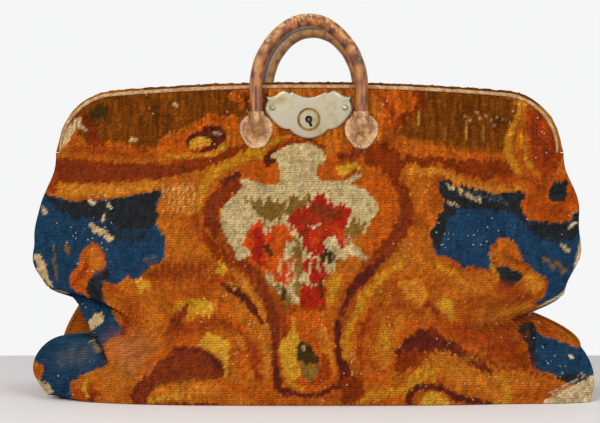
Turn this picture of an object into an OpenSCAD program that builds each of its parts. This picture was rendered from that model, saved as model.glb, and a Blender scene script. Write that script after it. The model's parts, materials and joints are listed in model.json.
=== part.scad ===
// Carpet bag: two carpet sides, a folded gusset at each end and a base, hung on two hinged
// steel jaws that close with a key lock, with a rolled leather handle sewn to each jaw.
// Sizes are in mm and degrees. X runs along the bag, the front faces -Y, the floor is z = 0.

/* [Bag body] */
// Height from the floor to the top of the front binding, at the middle
bag_h = 293; // [275:1:320]
// Depth of the bag at the base, front to back
base_depth = 170; // [150:1:190]
// Distance between the front and back seams at each end
seam_depth = 100; // [86:1:120]
// Half width of the left side at its fullest, above the side fold
left_bulge_w = 260; // [250:1:268]
// Half width of the right side at its fullest, above the side fold
right_bulge_w = 251; // [244:1:262]
// Height of the fullest point on the left
left_bulge_z = 138; // [125:1:150]
// Height of the fullest point on the right
right_bulge_z = 158; // [145:1:168]
// Half width across the front lower left corner
front_left_ear_w = 256; // [246:1:266]
// Half width across the front lower right corner
front_right_ear_w = 260; // [250:1:268]
// Half width across the back lower left corner
back_left_ear_w = 245; // [238:1:262]
// Half width across the back lower right corner
back_right_ear_w = 260; // [250:1:268]
// Height of the front lower left corner's furthest point
front_left_ear_z = 27; // [18:1:34]
// Height of the front lower right corner's furthest point
front_right_ear_z = 21; // [16:1:30]
// Height of the back lower left corner's furthest point
back_left_ear_z = 30; // [20:1:38]
// Height of the back lower right corner's furthest point
back_right_ear_z = 36; // [24:1:42]
// Height of the left side fold at the front
front_left_notch_z = 60; // [52:1:72]
// Height of the right side fold at the front
front_right_notch_z = 76; // [66:1:90]
// Height of the left side fold at the back
back_left_notch_z = 82; // [70:1:90]
// Height of the right side fold at the back
back_right_notch_z = 74; // [66:1:90]
// Half width at the tip of the side folds at the front
front_notch_w = 204; // [194:1:225]
// Half width at the tip of the left side fold at the back
back_left_notch_w = 223; // [212:1:236]
// Half width at the tip of the right side fold at the back
back_right_notch_w = 212; // [200:1:230]
// How far the lower corners turn in at the floor
ear_round = 14; // [8:1:20]
// How far the sides turn in under the bag at the floor
heel = 8; // [4:1:12]
// Height over which the sides turn in
heel_h = 25; // [18:1:32]
// Thickness of the carpet with its lining
carpet_t = 5; // [4:0.1:6]
// Thickness of the gusset cloth
gusset_t = 4.5; // [3:0.1:6]
// Depth to which each gusset folds inwards
pleat_d = 35; // [20:1:45]
// How far the side seams stand out past the gusset
seam_fin = 3; // [2:0.5:5]
// Thickness of the base
base_t = 5; // [4:0.5:7]
// Depth of the crease that runs in from each side fold
crease_d = 11; // [4:1:15]
// Width of that crease
crease_w = 13; // [9:1:18]

/* [Jaws] */
// Width across the steel jaws at the hinges
frame_w = 468; // [450:1:480]
// Outer radius of the jaw corners
corner_r = 54; // [44:1:60]
// Radius of the crowned top of the jaws
crown_r = 2200; // [1600:50:4000]
// Height of the jaws above their hinges
hinge_drop = 66; // [64:0.5:72]
// Width of the steel strip
strip_w = 10.6; // [9.6:0.1:12]
// Thickness of the steel strip
strip_t = 2.5; // [2:0.1:3]
// Gap between the two closed jaws
jaw_gap = 0.8; // [0.6:0.1:1.4]
// Angle to which each jaw opens
jaw_open = 45; // [30:1:48]
// Diameter of the hinge eyes
eye_d = 12; // [10:0.5:14]
// Diameter of the hinge pins
pin_d = 4; // [3:0.1:5]
// Diameter of the hinge pin heads
pin_head_d = 8; // [7:0.5:9]
// Thickness of the hinge pin heads
pin_head_t = 1.2; // [0.8:0.1:2]
// Height of the front binding above the steel
binding_t = 3.2; // [2:0.1:5]
// How far the binding laps down over the front carpet
binding_lap = 2.4; // [1:0.1:4]
// Thickness of the binding where it laps
lap_t = 1.4; // [0.8:0.1:2.5]
// Thickness of the carpet turned over the back jaw
turnover_t = 6; // [4:0.1:8]

/* [Lock] */
// Distance between the lock rivets
rivet_span = 68; // [60:0.5:76]
// Distance from a lock rivet to the end of the plate
rivet_edge = 8.4; // [7.6:0.2:10]
// Height of the lock plate
plate_h = 45.4; // [42:0.2:47]
// Height of the lock plate's lower edge above the hinges
plate_lift = 17.5; // [16:0.5:17.5]
// Thickness of the lock plate
plate_t = 2; // [1.2:0.1:3]
// Outer diameter of the keyhole ring
ring_d = 21.4; // [19:0.2:24]
// Wall of the keyhole ring
ring_t = 2.1; // [1.6:0.1:3]
// How far the ring stands out of the plate
ring_proud = 1.2; // [0.6:0.1:2]
// Thickness of the keyhole disc
disc_t = 1.6; // [1:0.1:2.2]
// Diameter of the round part of the keyhole
keyhole_d = 7; // [5.5:0.1:8]
// Width of the keyhole slot
keyhole_slot = 2.8; // [2:0.1:3.4]
// Length of the keyhole slot below the middle
keyhole_len = 7.2; // [6:0.1:7.4]
// Lean of the keyhole slot from upright
keyhole_lean = 20; // [0:1:30]
// Diameter of the post that a hollow key fits over
post_d = 2.6; // [2:0.1:3]
// Width of the lock case
case_w = 48; // [46:1:54]
// Wall of the lock case
case_t = 1.2; // [1:0.1:1.4]
// Distance from a lock rivet to the end of the fixing flange
flange_end = 5; // [4:0.5:6.5]
// Height of the fixing flange
flange_h = 11; // [8:0.5:13]
// Diameter of the lock rivets
rivet_d = 3; // [2:0.1:3.4]
// Diameter of the lock rivet heads
rivet_head_d = 5.4; // [4.4:0.1:6]
// Height of the bolt bar
bolt_h = 4; // [3:0.1:5]
// Thickness of the bolt bar
bolt_t = 3.4; // [2.6:0.1:3.6]
// Travel of the bolt
bolt_throw = 8; // [6:0.5:9]
// Thickness of the staple's tongue
tongue_t = 3; // [2.4:0.1:3.6]
// How far the tongue reaches into the lock
tongue_reach = 8; // [7.6:0.1:8.4]

/* [Handles] */
// Diameter of the rolled handles
handle_d = 12.2; // [10:0.2:12.4]
// Distance from the lock plate's end to the middle of a handle's root
handle_gap = 7.1; // [6.6:0.1:10]
// Height of the front handle's centre line above the binding
handle_rise = 58.6; // [48:0.2:75]
// Distance between the two roots of the back handle
back_span = 88; // [84:1:100]
// How far the back handle sits to the right of the front one
back_shift = 4; // [0:0.5:6]
// How much lower the back handle stands
back_drop = 8; // [0:1:14]
// Radius of the top of the handles
handle_top_r = 36; // [32:1:42]
// Lean of each handle towards the other
handle_lean = 2; // [0:0.5:4]
// Height of a handle's root above the hinges
root_lift = 36; // [34:0.5:38]
// Width of a handle tab
tab_w = 32; // [29:0.5:36]
// Height of the middle of a tab above the hinges
tab_lift = 27; // [26:0.5:29]
// Height of a tab from its point to its middle
tab_point = 17.5; // [15:0.5:18]
// Thickness of a tab at its edge
tab_t = 2.2; // [1.6:0.1:3]
// Diameter of the point of a tab
tab_tip_d = 9; // [6:0.5:12]
// Wall of leather round the end of a handle
cuff_t = 1.2; // [0.8:0.1:1.3]
// Diameter of the stud in the middle of a tab
stud_d = 4; // [3:0.2:5]

/* [Fit] */
// Gap left between parts that lie on one another
fit = 0.2; // [0.1:0.05:0.3]
// Radial gap at the hinge pins and rivets
pin_fit = 0.05; // [0.03:0.01:0.1]
// Gap kept round a swinging flap
swing_fit = 0.4; // [0.3:0.1:0.8]
// Gap between a handle and the binding it passes
handle_clear = 0.4; // [0.3:0.1:1]
// How far a flap reaches below the hinge line
flap_drop = 9; // [8.6:0.1:9.6]
// Overlap of a flap and the side below it
flap_lap = 0.5; // [0.3:0.1:0.8]

/* [Hidden] */
LEFT = -1;
RIGHT = 1;
FRONT = -1;
BACK = 1;
steel_colour = [0.45, 0.44, 0.42];
nickel_colour = [0.78, 0.74, 0.64];
brass_colour = [0.50, 0.36, 0.16];
carpet_colour = [0.60, 0.27, 0.10];
gusset_colour = [0.50, 0.24, 0.10];
base_colour = [0.30, 0.20, 0.13];
binding_colour = [0.66, 0.50, 0.36];
leather_colour = [0.52, 0.29, 0.16];
tab_colour = [0.68, 0.50, 0.35];
big = 400;
cut = 1;
round_fn = 48;
hull_fn = 28;
rows = 24;
cols = 24;
gusset_cols = 8;
arch_steps = 14;
wall_slope = 1.1;
wall = carpet_t * wall_slope;

// Heights and depths at the mouth, each worked out from the steel
strip_top = bag_h - binding_t - fit;
strip_low = strip_top - strip_t;
hinge_z = strip_top - hinge_drop;
arch_w = frame_w / 2;
strip_in = jaw_gap / 2;
strip_out = strip_in + strip_w;
flap_in = strip_out + fit;
flap_out = flap_in + carpet_t;
flap_low = hinge_z - flap_drop;
panel_top = flap_low + flap_lap;
flap_r = norm([flap_out, flap_drop]);
panel_in = sqrt(pow(flap_r + swing_fit, 2) - pow(hinge_z - panel_top, 2));
top_depth = panel_in + wall;
top_w = arch_w + turnover_t + fit;
gusset_gap = 1;
gusset_top = hinge_z - flap_r - swing_fit - gusset_gap;

// Easing between the heights that shape the sides
function mix(a, b, t) = a + (b - a) * t;
function span_share(z, a, b) = min(1, max(0, (z - a) / (b - a)));
function rise(t) = sin(90 * t);
function smooth(t) = t * t * (3 - 2 * t);

// Values that differ from the left side to the right side, and from the front to the back
function bulge_w(s) = s < 0 ? left_bulge_w : right_bulge_w;
function bulge_z(s) = s < 0 ? left_bulge_z : right_bulge_z;
function ear_w(s, y) =
    y < 0 ? (s < 0 ? front_left_ear_w : front_right_ear_w) : (s < 0 ? back_left_ear_w : back_right_ear_w);
function ear_z(s, y) =
    y < 0 ? (s < 0 ? front_left_ear_z : front_right_ear_z) : (s < 0 ? back_left_ear_z : back_right_ear_z);
function notch_z(s, y) =
    y < 0 ? (s < 0 ? front_left_notch_z : front_right_notch_z) : (s < 0 ? back_left_notch_z : back_right_notch_z);
function notch_w(s, y) = y < 0 ? front_notch_w : s < 0 ? back_left_notch_w : back_right_notch_w;

// Half width of the bag at one side, height and face
function half_w(s, y, z) =
    let (ez = ear_z(s, y), nz = notch_z(s, y), bz = bulge_z(s), ew = ear_w(s, y), nw = notch_w(s, y))
    z < ez ? mix(ew - ear_round, ew, rise(z / ez))
  : z < nz ? mix(nw, ew, rise((nz - z) / (nz - ez)))
  : z < bz ? mix(nw, bulge_w(s), rise((z - nz) / (bz - nz)))
  : mix(bulge_w(s), top_w, smooth(span_share(z, bz, panel_top)));

// Half depth of the bag at its middle and at its seams
middle_curve = 1.6;
seam_curve = 1.2;
function side_depth(z, low, curve) =
    z < heel_h ? low - heel * (1 - rise(z / heel_h))
  : mix(low, top_depth, pow(span_share(z, heel_h, panel_top), curve));
function middle_depth(z) = side_depth(z, base_depth / 2, middle_curve);
function seam_half(z) = side_depth(z, seam_depth / 2, seam_curve);

// The crease runs in from the side fold and drops towards the middle
crease_reach = 0.16;
crease_fall = 150;
function crease(s, y, u, z) =
    let (inward = 1 - abs(u), line = notch_z(s, y) + crease_w - inward * crease_fall)
    crease_d * exp(-pow(inward / crease_reach, 2)) * exp(-pow((z - line) / crease_w, 2));

side_curve = 2.2;
function side_of(u) = u < 0 ? LEFT : RIGHT;
function panel_depth(y, u, z) =
    mix(middle_depth(z), seam_half(z), pow(abs(u), side_curve)) - crease(side_of(u), y, u, z);
function panel_point(y, u, z, deep) =
    [u * half_w(side_of(u), y, z), y * (panel_depth(y, u, z) - deep * wall), z];

// Each gusset runs between the inner faces of the two sides and folds inwards
function gusset_half(s, y, z) = seam_half(z) - crease(s, y, 1, z) - wall - fit;
function pleat(z) = pleat_d * sin(180 * span_share(z, 0, gusset_top));
function gusset_point(s, t, z, deep) =
    let (back = (1 + s * t) / 2, y = s * t < 0 ? FRONT : BACK,
         wide = mix(half_w(s, FRONT, z), half_w(s, BACK, z), back))
    [s * (wide - seam_fin - pleat(z) * (1 - t * t) - deep * gusset_t), s * t * gusset_half(s, y, z), z];

// The jaws' outline: upright arms, round corners and a crowned top
corner_x = arch_w - corner_r;
crown_z = strip_top - crown_r;
corner_z = crown_z + sqrt(pow(crown_r - corner_r, 2) - pow(corner_x, 2));
crown_half = asin(corner_x / (crown_r - corner_r));
function corner_arc(d) = [for (k = [0 : arch_steps])
    let (a = (90 - crown_half) * k / arch_steps)
    [corner_x + (corner_r + d) * cos(a), corner_z + (corner_r + d) * sin(a)]];
function crown_arc(d) = [for (k = [1 : arch_steps - 1])
    let (a = crown_half * (1 - 2 * k / arch_steps))
    [(crown_r + d) * sin(a), crown_z + (crown_r + d) * cos(a)]];
function mirrored(p) = [for (k = [len(p) - 1 : -1 : 0]) [-p[k][0], p[k][1]]];
function arm_x(d, low) =
    low <= corner_z ? arch_w + d : corner_x + sqrt(pow(corner_r + d, 2) - pow(low - corner_z, 2));
function above(p, low) = [for (q = p) if (q[1] > low + fit) q];
function arch(d, low) =
    let (corner = above(corner_arc(d), low))
    concat([[arm_x(d, low), low]], corner, crown_arc(d), mirrored(corner), [[-arm_x(d, low), low]]);
function reversed(p) = [for (k = [len(p) - 1 : -1 : 0]) p[k]];
function arch_band(inner, outer, low) = concat(arch(outer, low), reversed(arch(inner, low)));

// Lays a drawing in x and z flat, then gives it depth from y0 to y1
module slab(y0, y1) {
    translate([0, y1, 0]) rotate([90, 0, 0]) linear_extrude(y1 - y0) children();
}

// A turned piece along y, from y0 to y1
module pin_y(x, z, y0, y1, d) {
    translate([x, y1, z]) rotate([90, 0, 0]) cylinder(d = d, h = y1 - y0, $fn = round_fn);
}

// A turned piece along x, from x0 to x1
module pin_x(x0, x1, y, z, d) {
    translate([x0, y, z]) rotate([0, 90, 0]) cylinder(d = d, h = x1 - x0, $fn = round_fn);
}

// A block between two corners
module block(p, q) {
    translate(p) cube(q - p);
}

// A solid sheet between two grids of points, which have the same rows and columns
module sheet(outer, inner) {
    m = len(outer) - 1;
    n = len(outer[0]) - 1;
    w = n + 1;
    back = (m + 1) * w;
    points = concat([for (r = outer) each r], [for (r = inner) each r]);
    faces = concat(
        [for (i = [0 : m - 1], j = [0 : n - 1]) [i * w + j, (i + 1) * w + j, (i + 1) * w + j + 1]],
        [for (i = [0 : m - 1], j = [0 : n - 1]) [i * w + j, (i + 1) * w + j + 1, i * w + j + 1]],
        [for (i = [0 : m - 1], j = [0 : n - 1])
            [back + i * w + j, back + (i + 1) * w + j + 1, back + (i + 1) * w + j]],
        [for (i = [0 : m - 1], j = [0 : n - 1])
            [back + i * w + j, back + i * w + j + 1, back + (i + 1) * w + j + 1]],
        [for (j = [0 : n - 1]) [j, j + 1, back + j + 1]],
        [for (j = [0 : n - 1]) [j, back + j + 1, back + j]],
        [for (j = [0 : n - 1]) [m * w + j + 1, m * w + j, back + m * w + j]],
        [for (j = [0 : n - 1]) [m * w + j + 1, back + m * w + j, back + m * w + j + 1]],
        [for (i = [0 : m - 1]) [(i + 1) * w, i * w, back + i * w]],
        [for (i = [0 : m - 1]) [(i + 1) * w, back + i * w, back + (i + 1) * w]],
        [for (i = [0 : m - 1]) [i * w + n, (i + 1) * w + n, back + (i + 1) * w + n]],
        [for (i = [0 : m - 1]) [i * w + n, back + (i + 1) * w + n, back + i * w + n]]);
    polyhedron(points, faces);
}

// The carpet sides below the hinge line
module side_panel(y) {
    grid = [for (deep = [0, 1]) [for (i = [0 : rows]) [for (j = [0 : cols])
        panel_point(y, -y * (2 * j / cols - 1), panel_top * i / rows, deep)]]];
    sheet(grid[0], grid[1]);
}

module front_panel() {
    color(carpet_colour) side_panel(FRONT);
}

module back_panel() {
    color(carpet_colour) side_panel(BACK);
}

// The base lies inside the foot of the sides and gussets
module base_panel() {
    function base_x(y, u) = u * (half_w(side_of(u), y, 0) - seam_fin - gusset_t - fit);
    function base_edge(y) = [for (j = [0 : cols])
        let (u = y * (1 - 2 * j / cols)) [base_x(y, u), y * (panel_depth(y, u, 0) - wall - fit)]];
    color(base_colour) linear_extrude(base_t) polygon(concat(base_edge(FRONT), base_edge(BACK)));
}

module gusset(s) {
    grid = [for (deep = [0, 1]) [for (i = [0 : rows]) [for (j = [0 : gusset_cols])
        gusset_point(s, 2 * j / gusset_cols - 1, gusset_top * i / rows, deep)]]];
    color(gusset_colour) sheet(grid[0], grid[1]);
}

module left_gusset() {
    gusset(LEFT);
}

module right_gusset() {
    gusset(RIGHT);
}

// Hinge pins, each through a front eye and the back eye that lies inside it
eye_gap = fit;
eye_front_in = arch_w - strip_t;
eye_back_in = eye_front_in - eye_gap - strip_t;
trim_low = hinge_z + pin_head_d / 2 + swing_fit;
module hinge_pin() {
    color(steel_colour) {
        pin_x(eye_back_in - fit - pin_head_t, arch_w + fit + pin_head_t, 0, hinge_z, pin_d);
        pin_x(arch_w + fit, arch_w + fit + pin_head_t, 0, hinge_z, pin_head_d);
        pin_x(eye_back_in - fit - pin_head_t, eye_back_in - fit, 0, hinge_z, pin_head_d);
    }
}

module left_hinge_pin() {
    mirror([1, 0, 0]) hinge_pin();
}

module right_hinge_pin() {
    hinge_pin();
}

// Each jaw is a bent strip whose ends are brazed to the pieces that carry its hinge eyes
arm_clear = 2;
link_h = 10;
link_bite = 0.3;
arm_stop = hinge_z + eye_d / 2 + arm_clear;
link_low = arm_stop + arm_clear;
link_high = arm_stop + link_h;
link_out = arch_w - strip_t + link_bite;
pin_bore = pin_d + 2 * pin_fit;
module jaw_strip(side) {
    slab(side < 0 ? -strip_out : strip_in, side < 0 ? -strip_in : strip_out)
        polygon(arch_band(-strip_t, 0, arm_stop));
}

module front_frame() {
    color(steel_colour) jaw_strip(FRONT);
}

module back_frame() {
    color(steel_colour) jaw_strip(BACK);
}

// The front eyes lie straight below the ends of the strip
module front_hinge_eyes() {
    color(steel_colour) difference() {
        union() {
            intersection() {
                slab(-strip_out, -strip_in) polygon(arch_band(-strip_t, 0, hinge_z));
                block([-big, -big, hinge_z], [big, big, arm_stop]);
            }
            for (s = [LEFT, RIGHT])
                pin_x(s < 0 ? -arch_w : eye_front_in, s < 0 ? -eye_front_in : arch_w, 0, hinge_z, eye_d);
        }
        for (s = [LEFT, RIGHT])
            pin_x(s * arch_w - strip_t - cut, s * arch_w + strip_t + cut, 0, hinge_z, pin_bore);
    }
}

// The back eyes lie inside the front ones, so their links step inwards under the strip
module back_hinge_links() {
    color(steel_colour) difference() {
        for (s = [LEFT, RIGHT]) {
            eye_x = s < 0 ? -eye_back_in - strip_t : eye_back_in;
            step_x = s < 0 ? -link_out : eye_back_in;
            step_w = link_out - eye_back_in;
            pin_x(eye_x, eye_x + strip_t, 0, hinge_z, eye_d);
            block([eye_x, strip_in, hinge_z], [eye_x + strip_t, strip_out, link_high]);
            block([step_x, strip_in, link_low], [step_x + step_w, strip_out, link_high]);
        }
        slab(strip_in - cut, strip_out + cut) polygon(arch_band(-strip_t, binding_t, arm_stop));
        for (s = [LEFT, RIGHT])
            pin_x(s * arch_w - 2 * eye_d, s * arch_w + 2 * eye_d, 0, hinge_z, pin_bore);
    }
}

// The carpet stretched over each jaw, above the hinge line
rivet_share = 0.64;
ring_share = 0.40;
rivet_z = hinge_z + plate_lift + plate_h * rivet_share;
ring_z = hinge_z + plate_lift + plate_h * ring_share;
module front_flap() {
    color(carpet_colour) difference() {
        slab(-flap_out, -flap_in) polygon(arch(0, flap_low));
        pin_y(0, ring_z, -flap_out - cut, -flap_in + cut, ring_d + 2 * fit);
        for (s = [LEFT, RIGHT])
            pin_y(s * rivet_span / 2, rivet_z, -flap_out - cut, -flap_in + cut, rivet_d + 2 * pin_fit);
    }
}

module back_flap() {
    color(carpet_colour) union() {
        slab(flap_in, flap_out) polygon(arch(0, flap_low));
        slab(flap_in, flap_out) polygon(arch_band(-strip_t, turnover_t, trim_low));
        slab(strip_in + fit, flap_out) polygon(arch_band(fit, turnover_t, trim_low));
    }
}

module front_binding() {
    color(binding_colour) union() {
        slab(-flap_out - fit - lap_t, -strip_in - fit) polygon(arch_band(fit, binding_t + fit, trim_low));
        slab(-flap_out - fit - lap_t, -flap_out - fit)
            polygon(arch_band(-binding_lap, binding_t + fit, trim_low));
    }
}

// Half of the lock plate's outline, as shares of half its width and of its height
plate_half = [[0, 0.85], [0.13, 0.87], [0.26, 0.92], [0.37, 0.975], [0.42, 0.94], [0.48, 0.975], [0.56, 1],
              [0.635, 0.965], [0.71, 0.91], [0.81, 0.87], [0.965, 0.87], [0.92, 0.78], [0.975, 0.67],
              [1, 0.60], [0.95, 0.53], [0.84, 0.40], [0.75, 0.315], [0.635, 0.225], [0.515, 0.185],
              [0.44, 0.195], [0.335, 0.10], [0.21, 0.04], [0.09, 0.006], [0, 0]];
plate_z = hinge_z + plate_lift;
plate_w = rivet_span + 2 * rivet_edge;
flange_w = rivet_span + 2 * flange_end;
function plate_at(p, s) = [s * p[0] * plate_w / 2, plate_z + p[1] * plate_h];
plate_back = flap_out + fit;
plate_front = plate_back + plate_t;
module lock_plate() {
    last = len(plate_half) - 1;
    outline = concat([for (p = plate_half) plate_at(p, RIGHT)],
                     [for (k = [last - 1 : -1 : 1]) plate_at(plate_half[k], LEFT)]);
    color(nickel_colour) difference() {
        slab(-plate_front, -plate_back) polygon(outline);
        pin_y(0, ring_z, -plate_front - cut, -plate_back + cut, ring_d + 2 * fit);
        for (s = [LEFT, RIGHT])
            pin_y(s * rivet_span / 2, rivet_z, -plate_front - cut, -plate_back + cut, rivet_d + 2 * pin_fit);
    }
}

// The keyhole: a ring through plate and carpet, a disc inside it and a post for a hollow key
ring_front = plate_front + ring_proud;
disc_d = ring_d - 2 * ring_t;
disc_sunk = 0.6;
disc_front = ring_front - disc_sunk;
module keyhole_ring() {
    color(brass_colour) difference() {
        pin_y(0, ring_z, -ring_front, -flap_in, ring_d);
        pin_y(0, ring_z, -ring_front - cut, -flap_in + cut, disc_d);
    }
}

module keyhole_disc() {
    color(nickel_colour) difference() {
        pin_y(0, ring_z, -disc_front, -disc_front + disc_t, disc_d - 2 * pin_fit);
        pin_y(0, ring_z, -disc_front - cut, -disc_front + disc_t + cut, keyhole_d);
        translate([0, 0, ring_z]) rotate([0, -keyhole_lean, 0])
            block([-keyhole_slot / 2, -disc_front - cut, -keyhole_len],
                  [keyhole_slot / 2, -disc_front + disc_t + cut, 0]);
    }
}

// The lock case lies behind the carpet and under the front steel strip
case_top = strip_low - fit - crown_r * (1 - cos(asin(case_w / 2 / crown_r)));
case_edge = 2;
case_low = ring_z - ring_d / 2 - case_edge;
case_front = strip_out;
case_back = strip_in + fit;
cover_in = case_back + case_t;
tongue_h = 10;
tongue_gap = 3;
tongue_z = case_top - case_t - tongue_gap - tongue_h;
bolt_z = tongue_z + tongue_h / 2;
bolt_y = -(cover_in + case_front - case_t) / 2;
bolt_back = 1.2;
bolt_tip = -tongue_t / 2 - bolt_back;
bolt_len = 17;
module key_post() {
    color(steel_colour) pin_y(0, ring_z, -disc_front, -cover_in + case_t / 2, post_d);
}

module lock_case() {
    color(steel_colour) difference() {
        union() {
            block([-case_w / 2, -case_front, case_low], [case_w / 2, -cover_in - fit, case_top]);
            block([-flange_w / 2, -case_front, rivet_z - flange_h / 2],
                  [flange_w / 2, -case_front + case_t, rivet_z + flange_h / 2]);
        }
        block([-case_w / 2 + case_t, -case_front + case_t, case_low + case_t],
              [case_w / 2 - case_t, -cover_in + cut, case_top - case_t]);
        pin_y(0, ring_z, -case_front - cut, -case_front + case_t + cut, disc_d);
        for (s = [LEFT, RIGHT])
            pin_y(s * rivet_span / 2, rivet_z, -case_front - cut, -case_front + case_t + cut,
                  rivet_d + 2 * pin_fit);
    }
}

// The cover closes the case at the back and lets the staple's tongue in
slot_gap = 2.4;
module lock_cover() {
    color(steel_colour) difference() {
        block([-case_w / 2, -cover_in, case_low], [case_w / 2, -case_back, case_top]);
        block([-tongue_t / 2 - fit, -cover_in - cut, tongue_z - slot_gap],
              [tongue_t / 2 + fit, -case_back + cut, tongue_z + tongue_h + slot_gap]);
        pin_y(0, ring_z, -cover_in - cut, -cover_in + case_t / 2, post_d + 2 * pin_fit);
    }
}

rivet_head_h = 1.1;
module lock_rivets() {
    sphere_r = (pow(rivet_head_d / 2, 2) + rivet_head_h * rivet_head_h) / (2 * rivet_head_h);
    seat = plate_front + fit;
    clench = case_front - case_t - fit;
    color(brass_colour) for (s = [LEFT, RIGHT]) {
        pin_y(s * rivet_span / 2, rivet_z, -seat - rivet_head_h / 2, -clench + rivet_head_h, rivet_d);
        intersection() {
            pin_y(s * rivet_span / 2, rivet_z, -seat - rivet_head_h, -seat, rivet_head_d);
            translate([s * rivet_span / 2, -seat - rivet_head_h + sphere_r, rivet_z])
                sphere(r = sphere_r, $fn = round_fn);
        }
        pin_y(s * rivet_span / 2, rivet_z, -clench, -clench + rivet_head_h, rivet_head_d);
    }
}

// The bolt: a bar with a notched tail that the key's bit turns against
tail_w = 9;
tail_h = 9;
notch_d = 4;
tail_gap = 0.6;
bolt_end = bolt_tip - bolt_len;
module lock_bolt() {
    tail_x = -tongue_t / 2 - tail_gap - bolt_throw - tail_w / 2;
    color(brass_colour) slab(bolt_y - bolt_t / 2, bolt_y + bolt_t / 2) difference() {
        union() {
            translate([bolt_end, bolt_z - bolt_h / 2]) square([bolt_len, bolt_h]);
            translate([tail_x - tail_w / 2, bolt_z - tail_h]) square([tail_w, tail_h]);
        }
        translate([tail_x - notch_d / 2, bolt_z - tail_h - cut]) square([notch_d, notch_d + cut]);
    }
}

// A leaf spring lies on the bolt and keeps it where the key leaves it
spring_t = 0.6;
module bolt_spring() {
    spring_z = bolt_z + bolt_h / 2 + fit;
    foot_z = case_top - case_t - fit;
    color(steel_colour) slab(bolt_y - bolt_t / 2, bolt_y + bolt_t / 2) union() {
        translate([bolt_end, spring_z]) square([bolt_len - bolt_throw, spring_t]);
        translate([bolt_end, spring_z]) square([spring_t, foot_z - spring_z]);
        translate([bolt_end, foot_z - spring_t]) square([bolt_len / 2, spring_t]);
    }
}

// The staple hangs under the back steel strip, and its tongue takes the bolt
staple_w = 28;
staple_t = 1.6;
staple_top = strip_low - fit;
module staple() {
    color(steel_colour) difference() {
        union() {
            block([-staple_w / 2, strip_in + fit, staple_top - staple_t],
                  [staple_w / 2, strip_out - fit, staple_top]);
            block([-staple_w / 4, strip_in + fit, tongue_z], [staple_w / 4, strip_in + fit + staple_t, staple_top]);
            block([-tongue_t / 2, -tongue_reach, tongue_z],
                  [tongue_t / 2, strip_in + fit + staple_t, tongue_z + tongue_h]);
        }
        block([-tongue_t, bolt_y - bolt_t / 2 - fit, bolt_z - bolt_h / 2 - fit],
              [tongue_t, bolt_y + bolt_t / 2 + fit, bolt_z + bolt_h / 2 + fit]);
        for (s = [LEFT, RIGHT]) translate([s * staple_w / 3, (strip_in + strip_out) / 2, staple_top - staple_t - cut])
            cylinder(d = rivet_d + 2 * pin_fit, h = staple_t + 2 * cut, $fn = round_fn);
    }
}

module staple_rivets() {
    head_h = 1;
    color(steel_colour) for (s = [LEFT, RIGHT]) translate([s * staple_w / 3, (strip_in + strip_out) / 2, 0]) {
        translate([0, 0, staple_top - staple_t - fit - head_h / 2])
            cylinder(d = rivet_d, h = staple_t + head_h / 2 + fit, $fn = round_fn);
        translate([0, 0, staple_top - staple_t - fit - head_h])
            cylinder(d = rivet_head_d, h = head_h, $fn = round_fn);
    }
}

// A rolled handle: upright roots, two side arcs and a top arc that meet without a corner
root_z = hinge_z + root_lift;
front_span = plate_w + 2 * handle_gap;
function handle_span(side) = side < 0 ? front_span : back_span;
function handle_x(side) = side < 0 ? 0 : back_shift;
root_y = flap_out + fit + lap_t + handle_clear + handle_d / 2 + (bag_h - root_z) * tan(handle_lean);
handle_sides = 12;
side_steps = 7;
top_steps = 14;
module tube(rings) {
    n = len(rings) - 1;
    m = len(rings[0]);
    faces = concat(
        [[for (j = [0 : m - 1]) j]],
        [for (i = [0 : n - 1], j = [0 : m - 1])
            [i * m + j, (i + 1) * m + j, (i + 1) * m + (j + 1) % m, i * m + (j + 1) % m]],
        [[for (j = [m - 1 : -1 : 0]) n * m + j]]);
    polyhedron([for (r = rings) each r], faces);
}

module handle(side, top) {
    half = handle_span(side) / 2;
    stand = strip_top - root_z;
    up = (top - root_z) / cos(handle_lean) - stand;
    k = up - handle_top_r;
    m = half - handle_top_r;
    q = (k * k + m * m) / (2 * m);
    side_r = q + handle_top_r;
    turn = atan2(k, q - m);
    // Each station holds an arc's centre, its radius and the angle round it
    right_arc = [for (i = [0 : side_steps]) [half - side_r, stand, side_r, turn * i / side_steps]];
    top_arc = [for (i = [1 : top_steps - 1]) [0, stand + k, handle_top_r, mix(turn, 180 - turn, i / top_steps)]];
    left_arc = [for (i = [side_steps : -1 : 0]) [side_r - half, stand, side_r, 180 - turn * i / side_steps]];
    stations = concat([[half - side_r, 0, side_r, 0]], right_arc, top_arc, left_arc,
                      [[side_r - half, 0, side_r, 180]]);
    across = [1, 0, 0];
    upward = [0, -side * sin(handle_lean), cos(handle_lean)];
    forward = cross(upward, across);
    root = [handle_x(side), side * root_y, root_z];
    rings = [for (p = stations)
        let (out = across * cos(p[3]) + upward * sin(p[3]),
             centre = root + across * p[0] + upward * p[1] + out * p[2])
        [for (j = [0 : handle_sides - 1])
            let (a = 360 * j / handle_sides) centre + (out * cos(a) + forward * sin(a)) * handle_d / 2]];
    color(leather_colour) tube(rings);
}

module front_handle() {
    handle(FRONT, bag_h + handle_rise);
}

module back_handle() {
    handle(BACK, bag_h + handle_rise - back_drop);
}

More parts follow.
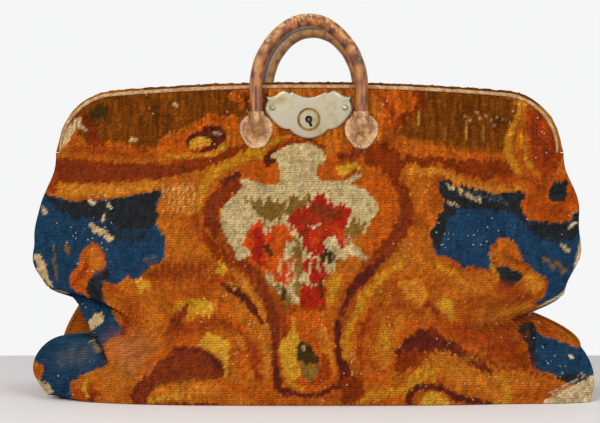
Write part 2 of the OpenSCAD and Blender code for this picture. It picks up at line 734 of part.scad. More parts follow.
// A tab: a pear of leather that swells into a cuff round the end of a handle
tab_z = hinge_z + tab_lift;
cuff_h = 9;
cuff_low = 2;
socket_gap = 0.15;
stud_drop = 5;
stud_z = tab_z - stud_drop;
stud_in = 5.6;
module tab(side, s) {
    x = handle_x(side) + s * handle_span(side) / 2;
    cuff_d = handle_d + 2 * cuff_t;
    color(tab_colour) mirror([0, side < 0 ? 0 : 1, 0]) difference() {
        hull() {
            pin_y(x, tab_z, -flap_out - fit - tab_t, -flap_out - fit, tab_w);
            pin_y(x, tab_z - tab_point + tab_tip_d / 2, -flap_out - fit - tab_t, -flap_out - fit, tab_tip_d);
            translate([x, -root_y, root_z]) rotate([-handle_lean, 0, 0]) translate([0, 0, -cuff_low])
                cylinder(d = cuff_d, h = cuff_h, $fn = hull_fn);
        }
        translate([x, -root_y, root_z]) rotate([-handle_lean, 0, 0]) translate([0, 0, -fit])
            cylinder(d = handle_d + 2 * socket_gap, h = big, $fn = handle_sides);
        translate([x, -flap_out - stud_in + fit, stud_z]) rotate([90, 0, 0])
            cylinder(d = stud_d / cos(180 / handle_sides) + 2 * pin_fit, h = root_y, $fn = handle_sides);
    }
}

module front_left_tab() {
    tab(FRONT, LEFT);
}

module front_right_tab() {
    tab(FRONT, RIGHT);
}

module back_left_tab() {
    tab(BACK, LEFT);
}

module back_right_tab() {
    tab(BACK, RIGHT);
}

// A domed stud in the middle of each tab
stud_len = 4;
module tab_studs(side) {
    color(brass_colour) mirror([0, side < 0 ? 0 : 1, 0]) for (s = [LEFT, RIGHT])
        pin_y(handle_x(side) + s * handle_span(side) / 2, stud_z, -flap_out - stud_in - stud_len, -flap_out - stud_in, stud_d);
}

module front_tab_studs() {
    tab_studs(FRONT);
}

module back_tab_studs() {
    tab_studs(BACK);
}

front_panel();
back_panel();
base_panel();
left_gusset();
right_gusset();
left_hinge_pin();
right_hinge_pin();
front_frame();
front_hinge_eyes();
front_flap();
front_binding();
lock_plate();
keyhole_ring();
keyhole_disc();
key_post();
lock_case();
lock_cover();
lock_rivets();
lock_bolt();
bolt_spring();
front_handle();
front_left_tab();
front_right_tab();
front_tab_studs();
back_frame();
back_hinge_links();
back_flap();
staple();
staple_rivets();
back_handle();
back_left_tab();
back_right_tab();
back_tab_studs();
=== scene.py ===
import json
import math

import bmesh
import bpy
import numpy as np
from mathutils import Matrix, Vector


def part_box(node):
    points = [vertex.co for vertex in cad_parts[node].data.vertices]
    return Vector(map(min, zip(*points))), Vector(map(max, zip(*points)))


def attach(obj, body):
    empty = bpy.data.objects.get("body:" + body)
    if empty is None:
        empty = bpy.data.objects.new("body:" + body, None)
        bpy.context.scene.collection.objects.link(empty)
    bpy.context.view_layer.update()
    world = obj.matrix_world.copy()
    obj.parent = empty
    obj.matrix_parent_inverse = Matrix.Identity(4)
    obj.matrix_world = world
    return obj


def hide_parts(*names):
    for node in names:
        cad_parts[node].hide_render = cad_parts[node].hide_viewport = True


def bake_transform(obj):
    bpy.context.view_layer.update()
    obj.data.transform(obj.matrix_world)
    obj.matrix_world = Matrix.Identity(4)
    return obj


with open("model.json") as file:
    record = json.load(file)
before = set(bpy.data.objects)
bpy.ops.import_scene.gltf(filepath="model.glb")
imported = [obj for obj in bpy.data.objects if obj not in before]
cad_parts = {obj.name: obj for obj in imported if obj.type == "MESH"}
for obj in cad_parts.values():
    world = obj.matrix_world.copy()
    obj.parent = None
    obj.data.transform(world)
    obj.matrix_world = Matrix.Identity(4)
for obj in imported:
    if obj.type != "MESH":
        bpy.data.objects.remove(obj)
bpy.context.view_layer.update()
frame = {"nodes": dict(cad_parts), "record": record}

# Lengths below are in millimetres, as in the part's source, and meshes are made in metres
MM = 0.001
LEFT, RIGHT = -1, 1
FRONT, BACK = -1, 1

# Heights and half widths that the jaws give
hinge_z = frame["record"]["behaviour"]["joints"][0]["pos_m"][2] / MM
jaw_high = np.array(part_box("front_frame")[1]) / MM
flap_out = -np.array(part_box("front_flap")[0])[1] / MM
strip_top = jaw_high[2]
arch_w = jaw_high[0]
corner_r = 54.0
crown_r = 2200.0
turnover_t, turnover_clear = 6.0, 0.2
corner_x = arch_w - corner_r
crown_z = strip_top - crown_r
corner_z = crown_z + math.sqrt((crown_r - corner_r) ** 2 - corner_x ** 2)
crown_end = corner_x * crown_r / (crown_r - corner_r)

# The sides of the bag, left and right, with an ear at each foot, a fold over it and a bulge above
bulge_w = {LEFT: 260.0, RIGHT: 251.0}
bulge_z = {LEFT: 138.0, RIGHT: 158.0}
ear_w = {(LEFT, FRONT): 256.0, (RIGHT, FRONT): 263.0, (LEFT, BACK): 245.0, (RIGHT, BACK): 269.0}
ear_z = {(LEFT, FRONT): 27.0, (RIGHT, FRONT): 21.0, (LEFT, BACK): 30.0, (RIGHT, BACK): 36.0}
notch_z = {(LEFT, FRONT): 60.0, (RIGHT, FRONT): 76.0, (LEFT, BACK): 82.0, (RIGHT, BACK): 74.0}
notch_w = {(LEFT, FRONT): 204.0, (RIGHT, FRONT): 204.0, (LEFT, BACK): 223.0, (RIGHT, BACK): 212.0}
ear_curve = {(LEFT, FRONT): 0.27, (RIGHT, FRONT): 0.55, (LEFT, BACK): 1.0, (RIGHT, BACK): 1.0}
ear_round = {(LEFT, FRONT): 14.0, (RIGHT, FRONT): 5.0, (LEFT, BACK): 14.0, (RIGHT, BACK): 14.0}
ear_reach = 8.0
# Swells and hollows of each side: height of the middle, reach up and down, and how far out
left_swells = [(186.0, 16.0, 2.5), (142.0, 14.0, -3.0)]
right_swells = [(186.0, 23.0, 6.0)]
side_swells = {
    (LEFT, FRONT): [(107.0, 14.0, -4.0)] + left_swells,
    (RIGHT, FRONT): [(91.0, 11.0, 10.0)] + right_swells,
    (LEFT, BACK): left_swells,
    (RIGHT, BACK): right_swells,
}
# At the front the cloth is tucked in under the left fold and hangs over the right one
tuck_in, tuck_low, tuck_full, tuck_edge, tuck_run = 18.0, 60.0, 85.0, 101.0, 10.0
hang_out, hang_low, hang_full, hang_fade, hang_top = 8.5, 80.0, 104.0, 128.0, 162.0
corner_swell, corner_share, corner_h = 16.0, 0.2, 60.0
corner_lift, lift_share, lift_h = 4.0, 0.2, 50.0
shoulder_in, shoulder_h = {LEFT: 2.2, RIGHT: 0.7}, 30.0
# The depth of the bag, in its middle and at the seams
heel, heel_h = {FRONT: -2.0, BACK: 8.0}, 25.0
base_half, seam_half = 85.0, 50.0
panel_gap = 8.5
panel_top = hinge_z - panel_gap
top_depth = 22.6
top_w = arch_w + turnover_t + turnover_clear
middle_curve, seam_curve, side_curve = 1.6, 1.2, 2.2
foot_curve, foot_curve_h = {FRONT: 3.6, BACK: side_curve}, 60.0
# The cloth lies flat on the jaw from a little below the hinge line, and narrows to the rim
flat_below, flat_above = 26.0, 12.0
rim_out, rim_under, rim_narrow = 1.0, 0.6, 0.92
carpet_t = 4.6
tuft = {FRONT: 1.75, BACK: 2.6}
# Unevenness of hanging cloth and of its tufts: height, size and seed, and where it fades out
unevenness = [(1.5, 70.0, 3), (0.8, 25.0, 4)]
tuft_height, tuft_size, tuft_seed = 0.12, 4.0, 5
soft_low, soft_full, soft_fade = 4.0, 40.0, 40.0
still_foot, still_top, still_fade = 12.0, 4.0, 16.0

# The camera, which also places the pattern: the photograph is 600 by 423 pixels
photo_w, photo_h = 600, 423
camera_el = math.radians(4.0)
camera_dist = 1500.0
focal_px = 1570.0
aim_px = (308.8, 234.0)
aim = np.array((0.0, 0.0, 150.0))


def mix(a, b, t):
    """The value a share t of the way from a to b."""
    return a + (b - a) * t


def share(v, a, b):
    """How far v lies from a to b, from 0 to 1."""
    return np.clip((v - a) / (b - a), 0.0, 1.0)


def ease(t):
    """A share that starts and ends gently."""
    return t * t * (3.0 - 2.0 * t)


def rise(t):
    """A share that starts at once and ends gently, as a quarter wave."""
    return np.sin(np.pi / 2 * np.clip(t, 0.0, 1.0))


def to_photo(points):
    """Where points in millimetres fall in the photograph, in pixels."""
    d = points - aim
    up = d[..., 2] * math.cos(camera_el) + d[..., 1] * math.sin(camera_el)
    depth = camera_dist + d[..., 1] * math.cos(camera_el) - d[..., 2] * math.sin(camera_el)
    return np.stack((aim_px[0] + focal_px * d[..., 0] / depth, aim_px[1] - focal_px * up / depth), axis=-1)


def cloth_noise(x, y, size, seed):
    """Smooth noise from -1 to 1 over a plane, with features of one size."""
    cells = 256
    table = np.random.default_rng(seed).uniform(-1.0, 1.0, (cells, cells))
    gx, gy = x / size, y / size
    ix, iy = np.floor(gx).astype(int), np.floor(gy).astype(int)
    fx, fy = ease(gx - ix), ease(gy - iy)
    rows = []
    for b in (0, 1):
        here, after = (table[(ix + a) % cells, (iy + b) % cells] for a in (0, 1))
        rows.append(mix(here, after, fx))
    return mix(rows[0], rows[1], fy)


def smooth_line(points, closed, steps=8):
    """A curve through given points."""
    p = np.array(points, float)
    n = len(p)
    out = []
    for i in range(n if closed else n - 1):
        if closed:
            a, b, c, d = p[i - 1], p[i], p[(i + 1) % n], p[(i + 2) % n]
        else:
            a, b, c, d = p[max(i - 1, 0)], p[i], p[i + 1], p[min(i + 2, n - 1)]
        for k in range(steps):
            t = k / steps
            out.append(0.5 * (2 * b + (c - a) * t + (2 * a - 5 * b + 4 * c - d) * t ** 2
                              + (3 * b - a - 3 * c + d) * t ** 3))
    if not closed:
        out.append(p[-1])
    return np.array(out)


def inside(xy, outline):
    """Which points lie inside a closed outline."""
    hit = np.zeros(xy.shape[:-1], bool)
    x, y = xy[..., 0], xy[..., 1]
    for (x0, y0), (x1, y1) in zip(outline, np.roll(outline, -1, axis=0)):
        if y0 == y1:
            continue
        crosses = (y0 > y) != (y1 > y)
        hit ^= crosses & (x < (x1 - x0) * (y - y0) / (y1 - y0) + x0)
    return hit


def line_distance(xy, line):
    """Distance to a line of points whose third value is a width or a depth, and that value there."""
    best = np.full(xy.shape[:-1], np.inf)
    value = np.zeros(xy.shape[:-1])
    for a, b in zip(line[:-1], line[1:]):
        run = b[:2] - a[:2]
        t = np.clip(((xy - a[:2]) @ run) / (run @ run), 0.0, 1.0)
        d = np.linalg.norm(xy - (a[:2] + t[..., None] * run), axis=-1)
        near = d < best
        best = np.where(near, d, best)
        value = np.where(near, a[2] + t * (b[2] - a[2]), value)
    return best, value


# Shape of the bag below the hinge line
def half_width(side, turn, z, sharp=True):
    """Half the bag's width at a height, with the fold over the ear sharp or soft."""
    ez, nz, bz = ear_z[side, turn], notch_z[side, turn], bulge_z[side]
    ew, nw = ear_w[side, turn], notch_w[side, turn]
    ear = mix(ew - ear_round[side, turn], ew, rise(z / ez))
    low = mix(nw, ew, rise((nz - z) / (nz - ez)) ** (ear_curve[side, turn] if sharp else 1.0))
    high = mix(nw, bulge_w[side], rise((z - nz) / (bz - nz)))
    top = mix(bulge_w[side], top_w, ease(share(z, bz, panel_top)))
    wide = np.where(z < ez, ear, np.where(z < nz, low, np.where(z < bz, high, top)))
    for middle, reach, out in side_swells[side, turn]:
        wide = wide + out * np.exp(-((z - middle) / reach) ** 2)
    if (side, turn) == (LEFT, FRONT):
        wide = wide - tuck_in * share(tuck_edge - z, 0.0, tuck_run) * share(z, tuck_low, tuck_full)
    if (side, turn) == (RIGHT, FRONT):
        wide = wide + hang_out * ease(share(z, hang_low, hang_full)) * ease(share(z, hang_top, hang_fade))
    return wide - shoulder_in[side] * ease(share(z, hinge_z - shoulder_h, hinge_z))


def side_depth(turn, z, low, curve):
    """How far out from the middle of the bag one side stands, from its foot to the jaw."""
    foot = low - heel[turn] * (1.0 - rise(z / heel_h))
    wall = mix(low, top_depth, share(z, heel_h, panel_top) ** curve)
    return np.where(z < heel_h, foot, wall)


def rim_height(x, grow):
    """Height of the jaws' outline, moved outwards by grow, above one place along the bag."""
    x = np.abs(x)
    crown = crown_z + np.sqrt((crown_r + grow) ** 2 - np.minimum(x, crown_end + grow) ** 2)
    past = np.maximum(x - corner_x, 0.0)
    corner = corner_z + np.sqrt(np.maximum((corner_r + grow) ** 2 - past ** 2, 0.0))
    return np.where(x < crown_end, crown, corner)


# Folds where the upper cloth hangs over the lower: photo points from left to right, each with a depth in mm
ledges = [
    [(46, 286, 8), (71, 292, 12), (93, 299, 13), (113, 308, 9), (133, 320, 0)],
    [(70, 294, 8), (80, 312, 11), (92, 333, 12), (104, 353, 9), (110, 366, 0)],
    [(500, 324, 0), (524, 316, 7), (535, 309, 10), (548, 303, 8), (566, 293, 5)],
]
over_reach, under_reach, lip, over_share = 14.0, 8.0, 0.8, 0.35
# Soft creases: a width in pixels, then photo points with a depth in millimetres
creases = [
    (6.0, [(540, 316, 8), (500, 324, 6), (470, 340, 4), (440, 352, 0)]),
    (6.0, [(541, 324, 8), (505, 347, 6), (465, 362, 4), (425, 377, 0)]),
    (5.0, [(545, 345, 4), (520, 362, 4), (480, 372, 0)]),
    (7.0, [(590, 212, 3), (560, 224, 3), (520, 240, 0)]),
    (7.0, [(30, 244, 3), (60, 262, 3), (95, 285, 0)]),
    (6.0, [(52, 205, 0), (70, 240, 2), (62, 285, 3)]),
]
# Soft swellings: photo point, reach in pixels, height in millimetres
swellings = [(75, 275, 26, 6), (112, 325, 14, 5), (70, 360, 30, 4), (545, 285, 28, 5), (560, 362, 26, 5),
             (470, 350, 22, 3), (180, 370, 50, 4), (430, 360, 40, 4), (300, 330, 60, 3), (150, 240, 60, 3)]


def carpet_shape(turn):
    """Outer and inner points of one carpet side, rows by columns, for the front or turned to the back."""
    cols = int(round(2 * arch_w / tuft[turn]))
    low_rows = int(round(hinge_z / tuft[turn]))
    high_rows = int(round((strip_top - hinge_z) / tuft[turn]))
    u = np.linspace(-1.0, 1.0, cols + 1)
    z_low = np.linspace(0.0, hinge_z, low_rows + 1)
    U, Z = np.meshgrid(u, z_low)
    side_w, soft_w = (np.where(U < 0, half_width(LEFT, turn, Z, sharp), half_width(RIGHT, turn, Z, sharp))
                      for sharp in (True, False))
    X = U * mix(soft_w, side_w, np.abs(U) ** ear_reach)
    curve = mix(foot_curve[turn], side_curve, ease(share(Z, 0.0, foot_curve_h)))
    middle_depth = side_depth(turn, Z, base_half, middle_curve)
    depth = mix(middle_depth, side_depth(turn, Z, seam_half, seam_curve), np.abs(U) ** curve)
    if turn == FRONT:
        corner = np.exp(-((1.0 - U) / corner_share) ** 2)
        depth = depth + corner_swell * corner * ease(share(Z, corner_h, 0.0))
        Z = Z + corner_lift * ease(share(-U, 1.0 - lift_share, 1.0)) * ease(share(Z, lift_h, 0.0))
    depth = mix(depth, flap_out, ease(share(Z, hinge_z - flat_below, hinge_z + flat_above)))
    # Above the hinge line the carpet is stretched over the jaw
    rim_w = arch_w + rim_out
    W = np.linspace(0.0, 1.0, high_rows + 1)[1:, None]
    X_high = u[None, :] * mix(side_w[-1][None, :], rim_w, ease(share(W, rim_narrow, 1.0)))
    Z_high = mix(hinge_z, rim_height(np.minimum(np.abs(X_high), rim_w), -rim_under), W)
    depth_high = mix(depth[-1][None, :], flap_out, ease(share(Z_high, hinge_z, hinge_z + flat_above)))
    outer = np.stack([np.vstack(pair) for pair in ((X, X_high), (-depth, -depth_high), (Z, Z_high))], axis=-1)
    seen = to_photo(outer)
    x, z = outer[..., 0], outer[..., 2]
    push = np.zeros(outer.shape[:2])
    for width, run in creases:
        gap, deep = line_distance(seen, np.array(run, float))
        push += deep * np.exp(-(gap / width) ** 2)
    for points in ledges:
        edge = np.array(points, float)
        gap, deep = line_distance(seen, edge)
        below = np.tanh((seen[..., 1] - np.interp(seen[..., 0], edge[:, 0], edge[:, 1])) / lip)
        under = below * np.exp(-gap / under_reach)
        over = over_share * below * np.exp(-gap / over_reach)
        push += deep * np.where(below > 0.0, under, over)
    for px, py, reach, height in swellings:
        push -= height * np.exp(-(((seen[..., 0] - px) ** 2 + (seen[..., 1] - py) ** 2) / reach ** 2))
    soft = share(z, soft_low, soft_full) * share(hinge_z - z, 0.0, soft_fade)
    for height, size, seed in unevenness:
        push += soft * height * cloth_noise(x, z, size, seed)
    push += tuft_height * cloth_noise(x, z, tuft_size, tuft_seed)
    outer[..., 1] += push * share(z, 0.0, still_foot) * share(hinge_z + still_top - z, 0.0, still_fade)
    inner = outer.copy()
    inner[..., 1] += carpet_t
    if turn == BACK:
        for grid in (outer, inner):
            grid[..., 1] *= -1.0
    return outer, inner, seen


# Dyes of the wool, in sRGB, and 'fold', the near-black of painted shade in folds and between the handles
dyes = {
    "rust": (166, 84, 16), "amber": (182, 108, 28), "bright": (172, 77, 12), "dark_rust": (120, 44, 8),
    "ochre": (176, 114, 22), "yellow": (188, 134, 34), "olive_brown": (108, 54, 6), "plum": (84, 30, 18),
    "maroon": (112, 43, 16), "navy": (26, 54, 78), "deep_navy": (32, 34, 35), "cream": (180, 156, 108),
    "crimson": (150, 30, 14), "flame": (184, 60, 14), "leaf": (118, 86, 32), "moss": (60, 42, 14),
    "red": (142, 52, 10), "thread": (210, 188, 150), "linen": (196, 172, 130), "pink": (166, 96, 50),
    "tan": (188, 158, 112), "slate": (72, 78, 84), "straw": (196, 142, 72), "fold": (22, 18, 16),
}
# The carpet's drawing in painting order, in photo pixels: a dye, how ragged it is, and listed points
# A field has an outline, and a line or a soft glow has a width at each point
FIELD, LINE, GLOW = "field", "line", "glow"
drawing = [
    # Brown band, bright block and rust bands under the rim
    (FIELD, "olive_brown", 3, [(52, 60), (580, 60), (560, 84), (470, 88), (245, 88), (245, 116),
        (222, 116), (200, 120), (185, 128), (168, 134), (160, 144), (150, 150), (128, 150), (112, 142),
        (100, 150), (82, 140), (78, 122), (96, 102), (60, 130)]),
    (FIELD, "olive_brown", 3, [(404, 86), (470, 88), (520, 104), (518, 116), (510, 128), (506, 142),
        (500, 152), (460, 152), (444, 146), (420, 140), (402, 134)]),
    (FIELD, "dark_rust", 4, [(246, 92), (268, 92), (262, 110), (246, 112)]),
    (FIELD, "bright", 2, [(366, 88), (415, 89), (415, 112), (404, 118), (392, 130), (366, 128)]),
    (LINE, "dark_rust", 4, [(419, 92, 8), (420, 105, 7), (404, 118, 8), (396, 128, 6)]),
    (LINE, "red", 5, [(376, 92, 5), (386, 104, 6), (392, 116, 5)]),
    (GLOW, "amber", 3, [(372, 100, 10), (378, 114, 9)]),
    (GLOW, "dark_rust", 3, [(384, 146, 12), (394, 132, 12)]),
    (FIELD, "moss", 3, [(88, 112), (96, 106), (106, 106), (110, 112), (104, 120), (94, 117)]),
    (LINE, "dark_rust", 5, [(82, 120, 10), (90, 134, 13), (98, 148, 10)]),
    (FIELD, "tan", 4, [(59, 148), (62, 136), (68, 127), (77, 119), (79, 124), (73, 134), (67, 146),
        (61, 150)]),
    (FIELD, "rust", 4, [(60, 150), (72, 142), (100, 146), (112, 143), (135, 146), (160, 151),
        (175, 150), (165, 160), (120, 164), (80, 161), (58, 158)]),
    (GLOW, "red", 3, [(76, 150, 8), (120, 152, 12), (150, 154, 8)]),
    (LINE, "dark_rust", 2.5, [(54, 170, 24), (100, 172, 22), (140, 172, 18), (170, 170, 14),
        (200, 164, 11), (225, 156, 10), (245, 147, 8)]),
    (GLOW, "maroon", 3, [(56, 164, 8), (100, 172, 8), (146, 172, 8), (180, 168, 6)]),
    (LINE, "amber", 3, [(62, 188, 10), (75, 191, 12), (110, 191, 12), (140, 187, 10), (165, 184, 10),
        (200, 176, 10)]),
    (LINE, "red", 4, [(54, 178, 8), (52, 190, 9)]),
    (FIELD, "rust", 3, [(160, 183), (205, 174), (202, 196), (198, 214), (162, 216), (156, 206)]),
    *[(LINE, "straw", 2, [(x, 184, 1.8), (x + 1, 198, 1.6), (x, 212, 0.8)]) for x in range(163, 197, 5)],
    (LINE, "ochre", 3, [(262, 148, 6), (250, 154, 9), (235, 161, 9), (220, 169, 9), (208, 180, 10),
        (202, 196, 8), (200, 210, 4)]),
    (FIELD, "bright", 4, [(160, 151), (165, 138), (180, 132), (195, 124), (205, 116), (225, 117),
        (238, 122), (232, 140), (226, 150), (205, 157), (180, 155)]),
    (FIELD, "plum", 1.5, [(186, 140), (192, 134), (200, 130), (208, 126), (220, 127), (226, 132),
        (225, 140), (220, 146), (212, 151), (196, 152), (190, 148)]),
    (FIELD, "yellow", 1.5, [(189, 144), (194, 139), (200, 137), (208, 138), (212, 142), (209, 146),
        (202, 148), (195, 150), (190, 150)]),
    (LINE, "flame", 2, [(196, 150, 3), (206, 147, 2)]),
    (LINE, "ochre", 2, [(168, 156, 3), (184, 156, 4), (204, 155, 4), (220, 149, 5), (229, 139, 4),
        (228, 128, 3)]),
    (LINE, "tan", 1.5, [(214, 132, 2), (221, 134, 2)]),
    (LINE, "tan", 2, [(174, 104, 3), (177, 106, 3)]),
    (LINE, "tan", 2, [(132, 139, 3), (136, 140, 3)]),
    (LINE, "tan", 2, [(80, 127, 4), (85, 129, 3)]),
    # Dark bands, arcs and the black square at the right
    (GLOW, "bright", 3, [(404, 148, 14), (450, 154, 12), (500, 158, 10)]),
    (LINE, "dark_rust", 4, [(396, 162, 8), (430, 160, 9), (446, 164, 10), (475, 169, 19),
        (508, 170, 17)]),
    (LINE, "amber", 3, [(408, 172, 7), (430, 172, 8), (450, 176, 5), (470, 184, 7), (500, 190, 6),
        (522, 190, 6)]),
    (FIELD, "red", 4, [(524, 112), (536, 110), (548, 124), (556, 140), (561, 158), (552, 174),
        (540, 172), (532, 156), (528, 136)]),
    (LINE, "maroon", 4, [(534, 132, 8), (543, 146, 8), (548, 160, 8)]),
    (LINE, "ochre", 2.5, [(522, 104, 5), (518, 118, 6), (510, 132, 7), (508, 146, 8), (512, 162, 8),
        (519, 174, 7), (524, 188, 5)]),
    (LINE, "ochre", 2.5, [(522, 136, 3), (524, 150, 3), (528, 162, 4), (535, 172, 4)]),
    (FIELD, "bright", 3, [(522, 192), (540, 182), (550, 178), (574, 176), (576, 212), (568, 222),
        (536, 222), (524, 212)]),
    (GLOW, "red", 3, [(534, 206, 12), (556, 210, 14), (572, 196, 8)]),
    (GLOW, "red", 3, [(500, 178, 10), (520, 180, 12), (536, 182, 10)]),
    (GLOW, "dark_rust", 3, [(532, 198, 9), (546, 180, 10), (536, 160, 9)]),
    (FIELD, "deep_navy", 1.5, [(551, 185), (558, 182), (568, 180), (567, 190), (564, 201), (552, 200),
        (548, 197)]),
    *[(LINE, "straw", 0.3, [(x, top, 1.0), (x, low, 0.6)]) for x, top, low in ((466, 121, 139),
        (419, 111, 125), (483, 126, 142), (446, 128, 140))],
    *[(LINE, "tan", 0.2, [(x, y, 2.0), (x + 0.6, y + 0.6, 1.8)]) for x, y in ((465, 116), (470, 120),
        (480, 118), (486, 116), (491, 120), (497, 117), (503, 119), (477, 112), (494, 125))],
    # Blue ground at the left, its leaf and its worn patches
    (FIELD, "navy", 1.5, [(30, 190), (60, 198), (68, 201), (100, 200), (125, 197), (160, 191),
        (157, 206), (154, 212), (156, 222), (161, 232), (166, 240), (163, 256), (160, 263), (150, 267),
        (143, 274), (135, 280), (126, 276), (121, 282), (112, 284), (106, 281), (102, 287), (104, 298),
        (112, 312), (118, 322), (127, 331), (118, 336), (106, 342), (104, 352), (107, 363), (98, 368),
        (85, 374), (74, 380), (70, 388), (69, 410), (10, 410), (10, 190)]),
    (FIELD, "deep_navy", 3, [(47, 196), (68, 202), (100, 201), (125, 198), (160, 192), (157, 206),
        (156, 226), (130, 230), (112, 226), (98, 220), (78, 218), (60, 212), (52, 206)]),
    (GLOW, "deep_navy", 3, [(104, 228, 8), (124, 236, 9), (144, 234, 9)]),
    (FIELD, "deep_navy", 2, [(108, 268), (96, 274), (88, 282), (85, 290), (92, 298), (104, 304),
        (103, 290), (102, 283), (108, 276)]),
    (FIELD, "bright", 1.5, [(93, 243), (101, 248), (105, 262), (104, 268), (96, 272), (89, 280),
        (86, 290), (91, 298), (80, 292), (71, 284), (71, 274), (78, 266), (81, 256), (86, 248)]),
    (GLOW, "amber", 2, [(94, 252, 9), (98, 264, 9)]),
    (LINE, "red", 3, [(76, 283, 6), (82, 272, 5), (88, 262, 3)]),
    (FIELD, "tan", 2, [(88, 226), (94, 223), (100, 228), (107, 232), (113, 238), (110, 242), (102, 236),
        (94, 232)]),
    (LINE, "thread", 2, [(104, 214, 2), (103, 221, 2)]),
    (LINE, "thread", 2, [(108, 203, 3), (112, 207, 3)]),
    (LINE, "thread", 2, [(90, 201, 3), (96, 203, 2)]),
    (LINE, "slate", 3, [(146, 260, 5), (154, 257, 4)]),
    (LINE, "leaf", 3, [(66, 240, 3), (68, 250, 4)]),
    (LINE, "leaf", 1.5, [(54, 246, 2), (55, 262, 2.4), (57, 278, 2.4)]),
    (LINE, "linen", 2, [(43, 206, 3), (45, 213, 4)]),
    (FIELD, "tan", 2, [(35, 257), (42, 258), (47, 266), (51, 280), (55, 286), (48, 284), (40, 274)]),
    (LINE, "tan", 1, [(38, 270, 1.5), (46, 284, 2.5), (57, 290, 3), (70, 293, 2)]),
    (FIELD, "tan", 2, [(98, 312), (103, 318), (102, 323), (95, 325), (91, 330), (89, 322), (93, 316)]),
    (LINE, "tan", 2, [(80, 333, 2), (88, 332, 5), (92, 335, 2)]),
    (LINE, "tan", 3, [(92, 344, 5), (98, 349, 4)]),
    # Painted sheen on the lower left ear: a soft slate glow over the navy
    (GLOW, "slate", 3, [(64, 358, 12), (84, 354, 16)]),
    (FIELD, "rust", 2, [(30, 362), (43, 365), (42, 376), (38, 381), (30, 376)]),
    (FIELD, "tan", 2, [(34, 378), (46, 382), (54, 389), (48, 394), (34, 390)]),
    # Blue ground at the right, its hooked leaf and its worn patches
    (FIELD, "navy", 1.5, [(438, 182), (446, 181), (460, 187), (478, 189), (494, 194), (508, 193),
        (522, 193), (520, 206), (526, 216), (535, 222), (556, 223), (570, 221), (577, 212), (600, 212),
        (600, 290), (574, 290), (566, 294), (556, 299), (545, 302), (532, 306), (530, 316), (531, 307),
        (540, 298), (546, 290), (545, 280), (538, 272), (530, 267), (522, 258), (518, 248), (512, 241),
        (504, 238), (494, 242), (489, 250), (492, 260), (494, 266), (486, 270), (478, 268), (470, 266),
        (464, 268), (456, 262), (444, 256), (436, 254), (432, 244), (431, 232), (438, 222), (442, 214),
        (444, 200), (440, 190)]),
    (FIELD, "deep_navy", 3, [(438, 182), (446, 181), (460, 187), (494, 194), (522, 193), (520, 206),
        (526, 216), (535, 222), (570, 222), (578, 213), (592, 222), (576, 236), (566, 241), (545, 239),
        (528, 228), (512, 213), (490, 210), (462, 210), (452, 216), (446, 226), (442, 240), (440, 252),
        (434, 250), (431, 232), (440, 216), (444, 200)]),
    *[(LINE, "tan", 1.5, [(446 + 3.2 * k, 184 + 1.3 * k, 1.5), (448 + 3.2 * k, 188 + 1.5 * k, 1.1)])
        for k in range(11)],
    *[(LINE, "tan", 1.5, [(447 + 3 * k, 201 + k, 1.2), (450 + 3 * k, 205 + 0.5 * k, 1.0)])
        for k in range(4)],
    *[(LINE, "slate", 1.5, [(x, 189 + (x - 462) / 5, 1.2), (x + 9, 197 + (x - 462) / 5, 1.0)])
        for x in range(462, 500, 6)],
    (LINE, "tan", 1.5, [(561, 245, 3), (568, 251, 4)]),
    (LINE, "leaf", 2, [(544, 258, 3), (554, 267, 3)]),
    (LINE, "leaf", 2, [(556, 262, 2), (564, 272, 4)]),
    (LINE, "thread", 1.5, [(570, 228, 3), (577, 222, 2)]),
    (FIELD, "deep_navy", 1.5, [(494, 268), (506, 266), (513, 270), (520, 272), (522, 278), (516, 282),
        (512, 287), (504, 286), (500, 278)]),
    (FIELD, "amber", 3, [(524, 272), (534, 271), (543, 280), (540, 288), (530, 290), (522, 284)]),
    (GLOW, "dark_rust", 2, [(508, 258, 8), (522, 264, 6), (526, 270, 4)]),
    (LINE, "ochre", 3, [(489, 252, 2), (493, 266, 3), (499, 280, 3)]),
    (LINE, "ochre", 4, [(440, 264, 5), (450, 272, 6), (462, 278, 6)]),
    (LINE, "linen", 1, [(582, 240, 3), (578, 262, 4), (572, 280, 5), (565, 292, 6), (552, 301, 6),
        (540, 308, 6), (531, 316, 4)]),
    (FIELD, "navy", 1.5, [(519, 330), (524, 324), (532, 323), (536, 328), (540, 334), (556, 340),
        (574, 346), (610, 352), (610, 380), (584, 379), (572, 383), (562, 378), (548, 372), (536, 368),
        (530, 362), (529, 350), (524, 340)]),
    (FIELD, "deep_navy", 2, [(519, 330), (524, 324), (532, 323), (537, 330), (535, 344), (535, 366),
        (530, 362), (529, 350), (524, 340)]),
    (FIELD, "deep_navy", 2, [(556, 376), (572, 383), (588, 377), (576, 373)]),
    (LINE, "thread", 1, [(570, 355, 3), (572, 356, 3)]),
    (FIELD, "linen", 1, [(610, 366), (590, 377), (572, 386), (556, 394), (544, 402), (552, 410),
        (610, 410)]),
    *[(LINE, "leaf", 0.8, [(553 + 4 * k, 397 - 2.2 * k, 0.9), (560 + 4 * k, 406 - 1.6 * k, 1.1)])
        for k in range(9)],
    *[(LINE, "thread", 0.8, [(555 + 4 * k, 394 - 2.3 * k, 1.2), (549 + 4 * k, 391 - 2.2 * k, 0.6)])
        for k in range(9)],
    # Plum and rust scrolls that frame the flowers
    (FIELD, "dark_rust", 4, [(350, 142), (395, 146), (400, 176), (386, 184), (366, 162)]),
    (LINE, "maroon", 3, [(338, 157, 6), (352, 156, 7), (364, 151, 6)]),
    (LINE, "plum", 2.5, [(244, 174, 4), (234, 177, 7), (222, 184, 6)]),
    (FIELD, "dark_rust", 3, [(243, 180), (240, 191), (228, 200), (220, 212), (221, 230), (216, 240),
        (206, 226), (204, 208), (210, 195), (222, 185)]),
    (LINE, "maroon", 4, [(226, 188, 7), (214, 202, 9), (210, 216, 9), (214, 230, 7)]),
